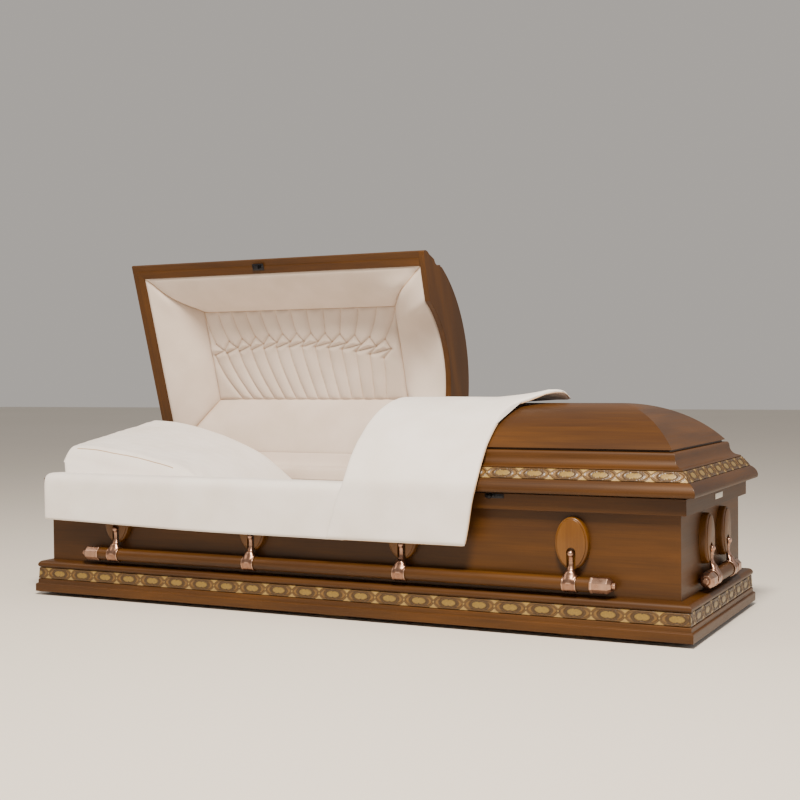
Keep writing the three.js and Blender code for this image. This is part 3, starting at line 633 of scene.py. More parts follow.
def carving(p, q):
    """Height in mm and linear colour at p along from an oval's centre and q across the band."""
    p = (p + OVAL_PITCH / 2) % OVAL_PITCH - OVAL_PITCH / 2
    from_crossing = OVAL_PITCH / 2 - np.abs(p)

    def oval(a, b):
        return (1 - np.sqrt((p / a) ** 2 + (q / b) ** 2)) * b

    ring = soft_step(oval(29, 14)) * (1 - soft_step(oval(22.5, 10)))
    groove = np.exp(-((np.sqrt((p / 25.8) ** 2 + (q / 12.0) ** 2) - 1) * 12.0 / 0.8) ** 2)
    cusp = 2.8 * np.exp(-(p / 2.4) ** 2) * (np.abs(q) > 2)
    centre = soft_step(oval(21, 9.2) - cusp)
    strap_q = 15.5 * np.tanh(from_crossing / 13)
    slope = 1.19 / np.cosh(from_crossing / 13) ** 2
    strap_line = np.abs(np.abs(q) - strap_q) / np.sqrt(1 + slope ** 2)
    strap = soft_step(2.3 - strap_line) * (1 - soft_step(oval(28, 13.4)))
    triangle = soft_step(np.abs(q) - strap_q - 2.3)
    diamond_size = 5.5 - from_crossing - np.abs(q)
    diamond = soft_step(diamond_size)
    diamond_heart = soft_step(diamond_size - 2.4)
    edge = soft_step(16.4 - np.abs(q))
    height = 0.5 * edge
    height = np.maximum(height, 1.9 * strap * edge)
    height = np.maximum(height, (2.4 - 0.7 * groove) * ring)
    height = np.maximum(height, centre * (1.5 + 0.5 * np.clip(oval(21, 9.2) / 9.2, 0, 1)))
    height = np.maximum(height, diamond * (2.2 - 0.9 * diamond_heart))
    strap_edge = np.exp(-((strap_line - 2.6) / 1.1) ** 2) * (1 - soft_step(oval(29, 14)))
    ring_edge = np.exp(-(oval(29.6, 14.5) / 1.0) ** 2) + np.exp(-(oval(22, 9.7) / 1.0) ** 2)
    outline = np.clip(strap_edge + ring_edge + 4 * diamond * (1 - diamond), 0, 1)
    colour = INK["ochre"][None] * np.ones(p.shape)[..., None]
    inner_gap = soft_step(oval(22.8, 10.3)) * (1 - centre)
    # Painted shade: the darkest ink goes into the ring's groove, the gap round the centre, every outline and the
    # band's edges.
    for mask, ink, power in ((triangle, "pale", 1), (strap, "strap", 1), (ring, "strap", 1),
                             (groove * ring, "crevice_shade", 0.7),
                             (inner_gap, "crevice_shade", 0.85), (centre, "gold", 1), (diamond, "strap", 1),
                             (diamond_heart, "pale", 1), (outline, "crevice_shade", 0.85), (1 - edge, "crevice_shade", 0.8)):
        weight = (mask * power)[..., None]
        colour = colour * (1 - weight) + INK[ink] * weight
    return height, colour


# %% Lay the pattern along the sides
CELL = 1.9
STRIP_DEPTH = 0.8
BAND_BASE = 0.6


def carved_strip(band, runs):
    """Rings and colours of carved strips. A run is a side's axis, its sign, ends and first oval."""
    size = math.hypot(band[1][0] - band[0][0], band[1][1] - band[0][1])
    rows = np.linspace(1.2, size - 1.2, 19)
    parts, colours = [], []
    for axis, sign, ends, first in runs:
        start, stop = (np.array([end(on_band(band, row, 0)[0]) for row in rows]) for end in ends)
        count = int(abs(stop[0] - start[0]) / CELL)
        t = np.linspace(0, 1, count + 1)[:, None]
        along = start * (1 - t) + stop * t
        height, colour = carving(along - first, (rows - size / 2)[None] * np.ones_like(along))
        lift = STRIP_DEPTH + BAND_BASE - height
        face = np.array([on_band(band, row, 0) for row in rows])
        inward = np.array(on_band(band, 0, 1)) - np.array(on_band(band, 0, 0))
        section = face[None] + inward[None, None] * lift[..., None]
        back = face[[-1, 0]] + inward * (SEAT_DEPTH - GAP)
        section = np.concatenate([section, np.broadcast_to(back, (count + 1, 2, 2))], axis=1)
        along = np.concatenate([along, along[:, [-1, 0]]], axis=1)
        colour = np.concatenate([colour, colour[:, [-1, 0]]], axis=1)
        half = HALF_W if axis == 0 else HALF_L
        out = sign * (half + section[..., 0])
        xyz = (along, out) if axis == 0 else (out, along)
        rings = np.stack([*xyz, section[..., 1]], axis=-1) * MM
        parts.append(skin(rings))
        colours.append(colour.reshape(-1, 3))
    return parts, np.concatenate(colours)


def gilt_finish():
    made, tree, shader = blank_material("gilded_carving_with_painted_crevice_shade")
    paint = node(tree, "ShaderNodeAttribute", attribute_name="paint").outputs["Color"]
    place = node(tree, "ShaderNodeTexCoord").outputs["Object"]
    cloud = node(tree, "ShaderNodeTexNoise", {"Vector": place, "Scale": 240.0, "Detail": 4.0})
    tone = node(tree, "ShaderNodeMapRange", {"Value": cloud.outputs["Fac"], 1: 0.3, 2: 0.7, 3: 0.8, 4: 1.12})
    mixed = node(tree, "ShaderNodeVectorMath", {0: paint, 1: tone.outputs[0]}, operation="MULTIPLY")
    tree.links.new(mixed.outputs["Vector"], shader.inputs["Base Color"])
    shader.inputs["Roughness"].default_value = 0.45
    shader.inputs["Metallic"].default_value = 0.15
    shader.inputs["Coat Weight"].default_value = 0.3
    shader.inputs["Coat Roughness"].default_value = 0.3
    return made


GILT = gilt_finish()


def carved_piece(name, band, runs, body, solid, place=None):
    parts, colours = carved_strip(band, runs)
    mesh = mesh_of(name, parts)
    layer = mesh.attributes.new("paint", "FLOAT_COLOR", "POINT")
    layer.data.foreach_set("color", np.c_[colours, np.ones(len(colours))].astype(np.float32).ravel())
    print(name, len(mesh.polygons), "faces")
    return piece(name, mesh, GILT, body, [solid], place, smooth=60)


def whole(axis):
    """A frame's side, mitred at both ends."""
    half = HALF_L if axis == 0 else HALF_W
    return (lambda o: -half - o, lambda o: half + o)


carved_piece("plinth_carving", PLINTH_BAND,
             [(0, -1, whole(0), PLINTH_FIRST_OVAL), (1, 1, whole(1), 0),
              (0, 1, whole(0), PLINTH_FIRST_OVAL), (1, -1, whole(1), 0)],
             "body", "plinth_ornament")
for side, word, place in ((-1, "head_lid", LID_OPEN), (1, "foot_lid", None)):
    butt = SPLIT_X + side * (SPLIT_GAP / 2 + HEADER_THICK + GAP)
    far = (lambda o, s=side: s * (HALF_L + o))
    near = (lambda o, x=butt: x)
    ends = (far, near) if side < 0 else (near, far)
    carved_piece(f"{word}_carving", LID_BAND,
                 [(0, -1, ends, 0), (1, side, whole(1), 0), (0, 1, ends, 0)],
                 word, f"{word}_ornament", place)

# %% [markdown]
# ## Handles
# Each handle is a turned bar carried by swinging arms. The lug on the wall is an oval block
# with a rounded shoulder, a fine groove round its face, and a slot for the arm. The arm is one
# casting, so its ball, neck and ring are fused and smoothed, not set against each other.

# %% Where a handle's parts stand
WALLS = {"front": (0, -1), "back": (0, 1), "foot": (1, 1), "head": (1, -1)}


def on_wall(word):
    """The matrix that takes (along the wall, outwards from it, up) to the casket's frame."""
    axis, sign = WALLS[word]
    half = (HALF_W if axis == 0 else HALF_L) + WALL_FACE
    along, out = (Vector((1, 0, 0)), Vector((0, sign, 0))) if axis == 0 else (Vector((0, 1, 0)), Vector((sign, 0, 0)))
    turn = Matrix((along, out, Vector((0, 0, 1)))).transposed().to_4x4()
    return Matrix.Translation(out * half * MM) @ turn


def centre_along(node_name, word):
    low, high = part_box(node_name)
    axis = WALLS[word][0]
    return (low[axis] + high[axis]) / 2


def set_on_wall(mesh, word, along=0.0):
    place = on_wall(word) @ Matrix.Translation((along, 0, 0))
    mesh.transform(place)
    if place.determinant() < 0:
        mesh.flip_normals()
    return mesh


def worked(mesh, *steps):
    """The mesh after some modifiers, each given as its kind and its settings."""
    made = bpy.data.objects.new("work", mesh)
    bpy.context.collection.objects.link(made)
    for kind, settings in steps:
        modifier = made.modifiers.new(kind, kind)
        for key, value in settings.items():
            setattr(modifier, key, value)
    shape = made.evaluated_get(bpy.context.evaluated_depsgraph_get())
    result = bpy.data.meshes.new_from_object(shape)
    bpy.data.objects.remove(made)
    return result


# %% Lugs
LUG_SHOULDER = [(0, 0), (13.2, 0), (15.6, 0.5), (17.6, 1.7), (18.9, 3.6), (19.2, 5), (18.6, 5.6),
                (18.8, 6.2), (20.6, 6.3), (21.6, 7.2), (22, 8.4)]


def ellipse(half_wide, half_high, out, steps=72):
    turns = [2 * math.pi * i / steps for i in range(steps)]
    return [(half_wide * math.cos(t) * MM, out * MM, (LUG_Z + half_high * math.sin(t)) * MM) for t in turns]


def lug_mesh():
    blank = mesh_of("lug", [skin([ellipse(LUG_WIDE - inset, LUG_HIGH - 0.8 * inset, out)
                                  for out, inset in LUG_SHOULDER])])
    round_top = [(SLOT_HALF * math.cos(t) * MM, (SLOT_TOP_Z + SLOT_HALF * math.sin(t)) * MM)
                 for t in (math.pi * i / 16 for i in range(17))]
    slot_outline = [(SLOT_HALF * MM, 0.1), *round_top, (-SLOT_HALF * MM, 0.1)]
    cutter_mesh = mesh_of("slot", [skin([[(u, w * MM, z) for u, z in slot_outline] for w in (SLOT_FLOOR, 40)])])
    cutter = bpy.data.objects.new("slot", cutter_mesh)
    bpy.context.collection.objects.link(cutter)
    slotted = worked(blank, ("BOOLEAN", {"operation": "DIFFERENCE", "object": cutter, "solver": "EXACT"}))
    bpy.data.objects.remove(cutter)
    return slotted


lug = lug_mesh()
for word in WALLS:
    for number in range(1, 5 if word in ("front", "back") else 3):
        name = f"{word}_lug_{number}"
        mesh = set_on_wall(lug.copy(), word, centre_along(name, word))
        set_grain(mesh, "z", number * 1.7)
        piece(f"{name}_turned", mesh, LUG_WOOD, "body", [name], smooth=50)
print("lug:", len(lug.polygons), "faces")

# %% Arms


def ball(centre, radius, rows=10, columns=20):
    """A sphere as a (vertices, faces) pair, in millimetres."""
    rings = []
    for row in range(1, rows):
        tilt = math.pi * row / rows
        rings.append([[(centre[0] + radius * math.sin(tilt) * math.cos(t)) * MM,
                       (centre[1] + radius * math.sin(tilt) * math.sin(t)) * MM,
                       (centre[2] + radius * math.cos(tilt)) * MM]
                      for t in (2 * math.pi * i / columns for i in range(columns))])
    return skin(rings)


def round_rod(profile, out=BAR_OUT, up=BAR_Z, sides=40, start=0.0, joined=False):
    """A turned rod along the wall, from (place along, radius) pairs in millimetres."""
    turns = [2 * math.pi * (i + start) / sides for i in range(sides)]
    return skin([[(u * MM, (out + r * math.cos(t)) * MM, (up + r * math.sin(t)) * MM) for t in turns]
                 for u, r in profile], joined=joined)


NECK = [(24, 220, 7.2, 6), (21.5, 204, 6.2, 5), (21.5, 190, 7, 5.2), (24, 178, 10.5, 7.5),
        (27, 169, 15.5, 11), (33, 161, 17.5, 9), (42, 153, 14, 5), (46.5, 144, 7, 3)]
RING = [(-20, 19.6), (-20, 22.4), (-18.6, 23.2), (-17, 22.6), (-15, 21.8), (15, 21.8), (17, 22.6),
        (18.6, 23.2), (20, 22.4), (20, 19.6)]


def neck():
    rings = []
    for i, (out, up, half_wide, half_deep) in enumerate(NECK):
        before, after = NECK[max(i - 1, 0)], NECK[min(i + 1, len(NECK) - 1)]
        run = np.array([after[0] - before[0], after[1] - before[1]])
        normal = np.array([-run[1], run[0]]) / np.hypot(*run)
        rings.append([(half_wide * math.cos(t) * MM, (out + normal[0] * half_deep * math.sin(t)) * MM,
                       (up + normal[1] * half_deep * math.sin(t)) * MM)
                      for t in (2 * math.pi * k / 24 for k in range(24))])
    return skin(rings)


cast = mesh_of("arm", [neck(), ball((0, BALL_OUT, PIVOT_Z), 9), round_rod(RING, joined=True)])
cast = worked(cast, ("REMESH", {"mode": "VOXEL", "voxel_size": 1.7 * MM, "use_smooth_shade": True}),
              ("SMOOTH", {"factor": 0.5, "iterations": 7}))
for word in WALLS:
    for number in range(1, 5 if word in ("front", "back") else 3):
        name = f"{word}_arm_{number}"
        mesh = set_on_wall(cast.copy(), word, centre_along(name, word))
        piece(f"{name}_cast", mesh, COPPER, f"{word}_bar", [name], smooth=None)
print("arm:", len(cast.polygons), "faces")

# %% Bars and caps
CAP_STEPS = [(0, CAP_RADIUS + 0.3), (-5, CAP_RADIUS + 0.3), (-6.4, CAP_RADIUS - 1.2), (-8, CAP_RADIUS - 1)]


def cap_profile(half, length):
    """An eight-sided cap: a collar, a plain length, a chamfer and a small button."""
    inner = [(half - length - step, radius) for step, radius in CAP_STEPS]
    return inner + [(half - 20, CAP_RADIUS - 0.6), (half - 9.4, 14.4), (half - 9, 9.6),
                    (half - 1.6, 9.2), (half, 7.4)]


for word, (axis, sign) in WALLS.items():
    half, cap = (SIDE_BAR_HALF, SIDE_CAP) if axis == 0 else (END_BAR_HALF, END_CAP)
    bar_end = half - cap + 3
    shift = SIDE_HANDLE_X * MM if axis == 0 else 0.0
    rod = mesh_of(f"{word}_rod", [round_rod([(-bar_end, BAR_RADIUS), (bar_end, BAR_RADIUS)])])
    set_on_wall(rod, word, shift)
    set_grain(rod, "xy"[axis], 9.0 + axis)
    piece(f"{word}_rod", rod, STAINED, f"{word}_bar", [f"{word}_bar"], smooth=50)
    for turn in (-1, 1):
        flipped = [(turn * u, r) for u, r in cap_profile(half, cap)]
        mesh = mesh_of(f"{word}_cap", [round_rod(flipped, sides=8, start=0.5)])
        ease_edges(mesh, 1.4 * MM, 3, 15)
        set_on_wall(mesh, word, shift)
        number = 1 if turn < 0 else 2
        stands_for = [f"{word}_bar_cap_{number}"] if word in ("front", "foot") else []
        even_normals(piece(f"{word}_bar_cap_{number}_cast", mesh, COPPER, f"{word}_bar",
                           stands_for, smooth=50))
print("bars and caps made")

# %% [markdown]
# ## Small fittings
# A slide latch with a round button sits on the front rail, its catch is on the lid's rim, a
# continuous hinge runs along the back, and a small blank plate is pinned at the foot end.

# %% Blocks


def block(low, high):
    """A box as a (vertices, faces) pair, from two corners in metres."""
    (x0, y0, z0), (x1, y1, z1) = low, high
    return skin([[(x0, y0, z), (x1, y0, z), (x1, y1, z), (x0, y1, z)] for z in (z0, z1)])


def block_mm(x0, x1, y0, y1, z0, z1):
    return block((x0 * MM, y0 * MM, z0 * MM), (x1 * MM, y1 * MM, z1 * MM))


# %% Latch and catch
low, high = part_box("front_latch")
x0, face = low[0] / MM, -HALF_W - RAIL_FACE - GAP
mesh = mesh_of("latch", [block_mm(x0, x0 + 54, face - 1.6, face, 357, 369),
                         block_mm(x0 + 2, x0 + 29, face - 4, face - 1, 359, 367),
                         block_mm(x0 + 36, x0 + 50, face - 3, face - 1, 361, 365)])
ease_edges(mesh, 0.6 * MM)
piece("slide_latch", mesh, BLACKENED, "body", ["front_latch"])
mesh = mesh_of("latch_button", [ball((x0 + 15, face - 8, 363), 7, 16, 28)])
piece("latch_button", mesh, BLACKENED, "body", smooth=None)

low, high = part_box("head_lid_catch")
x = (low[0] + high[0]) / 2 / MM
hook = [block_mm(x - 11, x - 6, -353, -341, 357, RAIL_TOP + 1),
        block_mm(x + 6, x + 11, -353, -341, 357, RAIL_TOP + 1),
        block_mm(x - 11, x + 11, -353, -341, 357, 361)]
mesh = mesh_of("catch", [block_mm(x - 22, x + 22, -356, -334, RAIL_TOP + 0.6, LID_BOTTOM - GAP), *hook,
                         *(ball((x + d, -345, RAIL_TOP + 0.8), 2.4) for d in (-16.5, 16.5))])
ease_edges(mesh, 0.6 * MM)
piece("lid_catch", mesh, BLACKENED, "head_lid", ["head_lid_catch"], LID_OPEN)

# %% Hinge, plate, boards and runners
low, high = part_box("lid_hinge")
KNUCKLE = 50
knuckles = []
for start in np.arange(-995, 995 - 1, KNUCKLE):
    stop = min(start + KNUCKLE - 0.6, 995)
    knuckles.append(round_rod([(start, 2.4), (start + 0.5, 3), (stop - 0.5, 3), (stop, 2.4)], HINGE_Y, HINGE_Z, 12))
mesh = mesh_of("hinge", [*knuckles, block_mm(-995, 995, 340.1, 341.6, 345, 368.3),
                         block_mm(-995, 995, 340.1, HINGE_Y - 1.5, 368.2, 369.6)])
piece("continuous_hinge", mesh, BLACKENED, "body", ["lid_hinge"])

mesh = mesh_of("plate", [block(*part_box("end_plate"))])
ease_edges(mesh, 0.5 * MM)
piece("blank_plate", mesh, IVORY, "body", ["end_plate"])

for name, run in (("bottom_board", "x"), ("runner_head", "y"), ("runner_middle", "y"), ("runner_foot", "y")):
    mesh = mesh_of(name, [block(*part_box(name))])
    ease_edges(mesh, 1.5 * MM)
    set_grain(mesh, run, 11)
    piece(f"{name}_sawn", mesh, BARE_WOOD, "body", [name])
print("fittings made")

# %% [markdown]
# ## Bedding
# Sewn goods swell between their seams and are pinched at them. Each padded piece is a face
# grid and a back grid, stitched round the edge. The face is raised by a swell that dies away
# at every seam over a centimetre or so, and the seam's thread lies in the crease.

# %% Padded grids


def quilt(front, back):
    """A closed skin from a face grid and a back grid of the same size."""
    return skin(np.concatenate([front, back[:, ::-1]], axis=1))


def ripple(u, v, size, seed, waves=7):
    """Soft unevenness between -1 and 1, from a few waves that cross at random."""
    random = np.random.default_rng(seed)
    total = np.zeros(np.broadcast(u, v).shape)
    for _ in range(waves):
        turn, phase, pace = random.uniform(0, 2 * math.pi, 2).tolist() + [random.uniform(0.6, 1.5)]
        total = total + np.sin(2 * math.pi * pace / size * (u * math.cos(turn) + v * math.sin(turn)) + phase)
    return total / math.sqrt(waves) / 1.6


def tube(points, radius, sides=7):
    """A thread along points, as a (vertices, faces) pair in metres."""
    points = np.asarray(points, float)
    run = np.gradient(points, axis=0)
    run /= np.linalg.norm(run, axis=1)[:, None] + 1e-12
    side = np.cross(run, [0.31, 0.52, 0.79])
    side /= np.linalg.norm(side, axis=1)[:, None]
    up = np.cross(run, side)
    turns = np.linspace(0, 2 * math.pi, sides, endpoint=False)
    return skin(points[:, None] + radius * (np.cos(turns)[None, :, None] * side[:, None]
                                            + np.sin(turns)[None, :, None] * up[:, None]))


# %% Border of a lid's lining
LINING_Y = HALF_W + LID_INSIDE - 1
PANEL_HALF, PANEL_Z = 163.0, 505.0
LOW_EDGE = LID_BOTTOM + 4


def header_edge(y):
    """The height of the lining's edge behind a header board."""
    inside = np.clip(arch_radius ** 2 - np.asarray(y) ** 2, 0, None)
    return np.maximum(LOW_EDGE, ARCH_TOP - arch_radius + np.sqrt(inside) + 4)


def border_sides(end_x, near_x, panel_end, panel_split, steps=72):
    """The outer and inner edge of the four border pads, in order round the lid."""
    s = np.linspace(0, 1, steps)[:, None]
    y = (2 * s - 1) * LINING_Y
    inner_y = (2 * s - 1) * PANEL_HALF
    pads = {}
    for word, sign in (("front", -1), ("back", 1)):
        outer = np.hstack([end_x + (near_x - end_x) * s, 0 * s + sign * LINING_Y, 0 * s + LOW_EDGE])
        inner = np.hstack([panel_end + (panel_split - panel_end) * s, 0 * s + sign * PANEL_HALF, 0 * s + PANEL_Z])
        pads[word] = (outer, inner)
    pads["end"] = (np.hstack([0 * s + end_x, y, 0 * s + LOW_EDGE]),
                   np.hstack([0 * s + panel_end, inner_y, 0 * s + PANEL_Z]))
    pads["header"] = (np.hstack([0 * s + near_x, y, header_edge(y)]),
                      np.hstack([0 * s + panel_split, inner_y, 0 * s + PANEL_Z]))
    return pads


CORNER_BOW = {"front": (25, 45), "back": (25, 45), "end": (25, 25), "header": (45, 45)}


def border_pads(sides, swell, seed):
    parts, seams = [], []
    r = np.linspace(0, 1, 34)[None, :, None]
    for number, (word, (outer, inner)) in enumerate(sides.items()):
        flat = outer[:, None] * (1 - r) + inner[:, None] * r
        first, last = CORNER_BOW[word]
        reach = np.linspace(0, 1, len(outer))[:, None] * np.linalg.norm(outer[-1] - outer[0])
        bow = first * np.exp(-reach / 110) + last * np.exp(-(reach[-1] - reach) / 110)
        flat[..., 2] -= bow * ((4 * r * (1 - r)) ** 2)[..., 0]
        along, across = np.gradient(flat, axis=0), np.gradient(flat, axis=1)
        normal = np.cross(along, across)
        normal /= np.linalg.norm(normal, axis=2)[..., None] + 1e-9
        normal *= np.where(normal[..., 2:] > 0, -1, 1)
        travel = np.cumsum(np.linalg.norm(along, axis=2), axis=0)
        from_seam = np.minimum(travel - travel[0], travel[-1] - travel)
        depth = (4 * r[..., 0] * (1 - r[..., 0])) ** 0.55
        lift = swell * depth * (1 - np.exp(-from_seam / 16))
        lift = lift + 1.6 * depth * ripple(travel, 200 * r[..., 0], 260, seed + number)
        face = flat + normal * lift[..., None]
        parts.append(quilt(face * MM, (flat - normal * 5) * MM))
        seams += [tube((face[row] + normal[row] * 0.4) * MM, 1.1 * MM) for row in (0, -1)]
        seams += [tube((face[:, -1] + normal[:, -1] * 0.4) * MM, 1.2 * MM)]
    return parts, seams


# %% The gathered panel of the head lid
PANEL_X0, PANEL_X1 = -881.0, -120.0
PANEL_W, PANEL_H = PANEL_X1 - PANEL_X0, 2 * PANEL_HALF
TUFTS = 13


def tuft_rows():
    """Three bowed rows of tufts, as shares of the panel's width and height."""
    upper = [(0.034 + 0.0745 * i) for i in range(TUFTS)]
    middle = [(0.077 + 0.073 * i) for i in range(TUFTS)]
    lower = [(0.019 + 0.0685 * i) for i in range(TUFTS + 1)]
    bow = lambda s: (2 * s - 1) ** 2
    return ([(s, 0.26 + 0.12 * bow(s)) for s in upper], [(s, 0.35 + 0.12 * bow(s)) for s in middle],
            [(s, 0.41 + (0.08 if s < 0.5 else 0.21) * bow(s)) for s in lower])


def pleat_lines():
    """Every crease of the panel as a list of points, in shares of its size."""
    upper, middle, lower = tuft_rows()
    lines = []
    for i, (s, f) in enumerate(upper):
        start = i / (TUFTS - 1) - 0.032 * math.sin(math.pi * i / (TUFTS - 1))
        lines.append([(start + (s - start) * t ** 1.4, f * t) for t in np.linspace(0, 1, 6)])
    for i, (s, f) in enumerate(lower):
        stop = 0.132 + 0.0585 * i
        lines.append([(s + (stop - s) * t ** 1.5, f + (1 - f) * t) for t in np.linspace(0, 1, 7)])
    for i in range(TUFTS):
        lines.append([upper[i], middle[i]])
        lines.append([lower[i], middle[i]])
        lines.append([middle[i], lower[i + 1]])
        if i + 1 < TUFTS:
            lines.append([middle[i], upper[i + 1]])
    return lines


def nearest_crease(x, y, lines):
    distance = np.full(x.shape, 1e3)
    for line in lines:
        points = np.array(line) * [PANEL_W, PANEL_H]
        for a, b in zip(points[:-1], points[1:]):
            run = b - a
            t = np.clip(((x - a[0]) * run[0] + (y - a[1]) * run[1]) / (run @ run), 0, 1)
            distance = np.minimum(distance, np.hypot(x - a[0] - t * run[0], y - a[1] - t * run[1]))
    return distance


def gathered_panel():
    columns, rows = int(PANEL_W / 2.8), int(PANEL_H / 2.8)
    x, y = np.meshgrid(np.linspace(0, PANEL_W, columns), np.linspace(0, PANEL_H, rows), indexing="ij")
    crease = nearest_crease(x, y, pleat_lines())
    upper, middle, lower = tuft_rows()
    braid = np.exp(-((y / PANEL_H - np.interp(x / PANEL_W, *zip(*middle))) / 0.075) ** 2)
    tufts = np.array(upper + middle + lower) * [PANEL_W, PANEL_H]
    to_tuft = np.min(np.hypot(x[..., None] - tufts[:, 0], y[..., None] - tufts[:, 1]), axis=-1)
    edge = np.minimum(np.minimum(x, PANEL_W - x), np.minimum(y, PANEL_H - y))
    lift = (9.5 + 7 * braid) * (1 - np.exp(-crease / 8)) - 3.5 * np.exp(-(to_tuft / 4) ** 2)
    lift = lift * (1 - np.exp(-edge / 6)) + 0.8 * ripple(x, y, 90, 5)
    # Painted shade: this attribute is high along every crease and at every tuft, where the crepe is turned tan.
    crease_shade = np.clip(0.55 * np.exp(-(crease / 1.3) ** 2) + 0.6 * np.exp(-(to_tuft / 2.4) ** 2), 0, 1)
    face = np.stack([PANEL_X0 + x, y - PANEL_HALF, PANEL_Z - 0.5 - lift], axis=-1)
    back = np.stack([PANEL_X0 + x, y - PANEL_HALF, 0 * x + PANEL_Z + 6], axis=-1)
    return quilt(face * MM, back * MM), np.concatenate([crease_shade, 0 * crease_shade], axis=1)


def crepe_with_painted_crease_shade():
    """The lining crepe, turned tan where an attribute marks the creases and the tufts: painted shade."""
    made = SHADED_LINING_CREPE.copy()
    made.name = "lid_lining_crepe_with_painted_crease_shade"
    tree = made.node_tree
    shader = tree.nodes["Principled BSDF"]
    plain = shader.inputs["Base Color"].links[0].from_socket
    crease_shade = node(tree, "ShaderNodeAttribute", attribute_name="crease_shade").outputs["Fac"]
    mixed = node(tree, "ShaderNodeMix", {0: crease_shade, 6: plain, 7: linear("#b18a63")}, data_type="RGBA")
    tree.links.new(mixed.outputs[2], shader.inputs["Base Color"])
    return made


part, crease_shade = gathered_panel()
mesh = mesh_of("gathered_panel", [part])
layer = mesh.attributes.new("crease_shade", "FLOAT", "POINT")
layer.data.foreach_set("value", crease_shade.astype(np.float32).ravel())
piece("gathered_panel", mesh, crepe_with_painted_crease_shade(), "head_lid", ["head_lid_tufted_panel"],
                LID_OPEN, smooth=None)
print("gathered panel:", len(mesh.polygons), "faces")

# %% Both linings
END_X = HALF_L + LID_INSIDE - 1
for side, word, near, split, end, place, solids in (
        (-1, "head_lid", 54.5, PANEL_X1, PANEL_X0, LID_OPEN, ["head_lid_border_lining"]),
        (1, "foot_lid", 98.5, 271.0, 881.0, None, ["foot_lid_lining"])):
    parts, seams = border_pads(border_sides(side * END_X, near, end, split), 15, 20 + side)
    pads = piece(f"{word}_border_pads", mesh_of(f"{word}_border_pads", parts), SHADED_LINING_CREPE, word,
                 solids, place, smooth=70)
    threads = piece(f"{word}_seams", mesh_of(f"{word}_seams", seams), THREAD_AND_EDGE_SHADE, word, (), place,
                    smooth=None)
x, y = np.meshgrid(np.linspace(271, 881, 150), np.linspace(-PANEL_HALF, PANEL_HALF, 60), indexing="ij")
pleat = np.abs((x - 271) / 46.9 - np.round((x - 271) / 46.9)) * 46.9
lift = 8 * (1 - np.exp(-pleat / 9))
mesh = mesh_of("foot_lid_pleats", [quilt(np.stack([x, y, PANEL_Z - 0.5 - lift], -1) * MM,
                                         np.stack([x, y, 0 * x + PANEL_Z + 6], -1) * MM)])
piece("foot_lid_pleats", mesh, SHADED_LINING_CREPE, "foot_lid", smooth=None)
print("linings made")

# %% Inside of the shell


def round_room(inset, step=9):
    """Points round the inside of the shell, and how far along each is."""
    half_x, half_y = HALF_L + inset, HALF_W + inset
    corners = [(-half_x, -half_y), (half_x, -half_y), (half_x, half_y), (-half_x, half_y), (-half_x, -half_y)]
    points = []
    for a, b in zip(corners[:-1], corners[1:]):
        count = int(math.dist(a, b) / step)
        points += [(a[0] + (b[0] - a[0]) * i / count, a[1] + (b[1] - a[1]) * i / count) for i in range(count)]
    return np.array(points)


points = round_room(-60.2)
travel = np.cumsum(np.hypot(*np.gradient(points, axis=0).T))
shirr = np.abs(travel / 52 - np.round(travel / 52)) * 52
lift = 5 + 9 * (1 - np.exp(-shirr / 9))
inward = -points / np.array([HALF_L - 60.2, HALF_W - 60.2])
inward = np.where(np.abs(inward) > 0.999, np.sign(inward), 0)
rings = []
for z in np.linspace(40, 364, 16):
    edge = min(1.0, (z - 38) / 12, (366 - z) / 8)
    rings.append(np.c_[points + inward * (lift * edge)[:, None], np.full(len(points), z)] * MM)
outer = [np.c_[points, np.full(len(points), z)] * MM for z in (364, 40)]
mesh = mesh_of("shirred_lining", [skin([*rings, *outer], joined=True)])
piece("shirred_lining", mesh, SHADED_LINING_CREPE, "body", ["body_lining"], smooth=None)

low, high = (np.array(corner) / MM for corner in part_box("mattress"))
x, y = np.meshgrid(np.linspace(low[0] + 1, high[0] - 1, 190), np.linspace(low[1] + 1, high[1] - 1, 60), indexing="ij")
edge = np.minimum(np.minimum(x - low[0], high[0] - x), np.minimum(y - low[1], high[1] - y))
dimple = np.hypot((x + 75) % 150 - 75, (y + 70) % 140 - 70)
top = high[2] - 1 - 26 * (1 - np.clip(edge / 30, 0, 1)) ** 2.5 - 9 * np.exp(-dimple / 16)
mesh = mesh_of("mattress_pad", [quilt(np.stack([x, y, top], -1) * MM, np.stack([x, y, 0 * x + low[2] + 1], -1) * MM)])
piece("mattress_pad", mesh, CREPE, "body", ["mattress"], smooth=60)
print("shell lining and mattress made")

# %% [markdown]
# ## Overlay, throw and apron
# The overlay is a foam-backed band that folds over the front rail. The throw is a quilted
# cloth that hangs from the foot lid's crown down the front, its far corner turned up. The
# apron is a single layer of crepe from the shell to the lid, and hides the hinge.

# %% Cloth along a path


def smooth_path(points, count):
    """Evenly spaced points on a Catmull-Rom curve through the given rows of numbers."""
    points = np.asarray(points, float)
    padded = np.vstack([2 * points[0] - points[1], points, 2 * points[-1] - points[-2]])
    fine = []
    for i in range(len(points) - 1):
        a, b, c, d = padded[i:i + 4]
        t = np.linspace(0, 1, 24, endpoint=False)[:, None]
        fine.append(0.5 * (2 * b + (c - a) * t + (2 * a - 5 * b + 4 * c - d) * t ** 2
                           + (3 * b - a - 3 * c + d) * t ** 3))
    fine = np.vstack([*fine, points[-1:]])
    travel = np.r_[0, np.cumsum(np.linalg.norm(np.diff(fine[:, :2], axis=0), axis=1))]
    even = np.linspace(0, travel[-1], count)
    return np.stack([np.interp(even, travel, column) for column in fine.T], axis=1), even


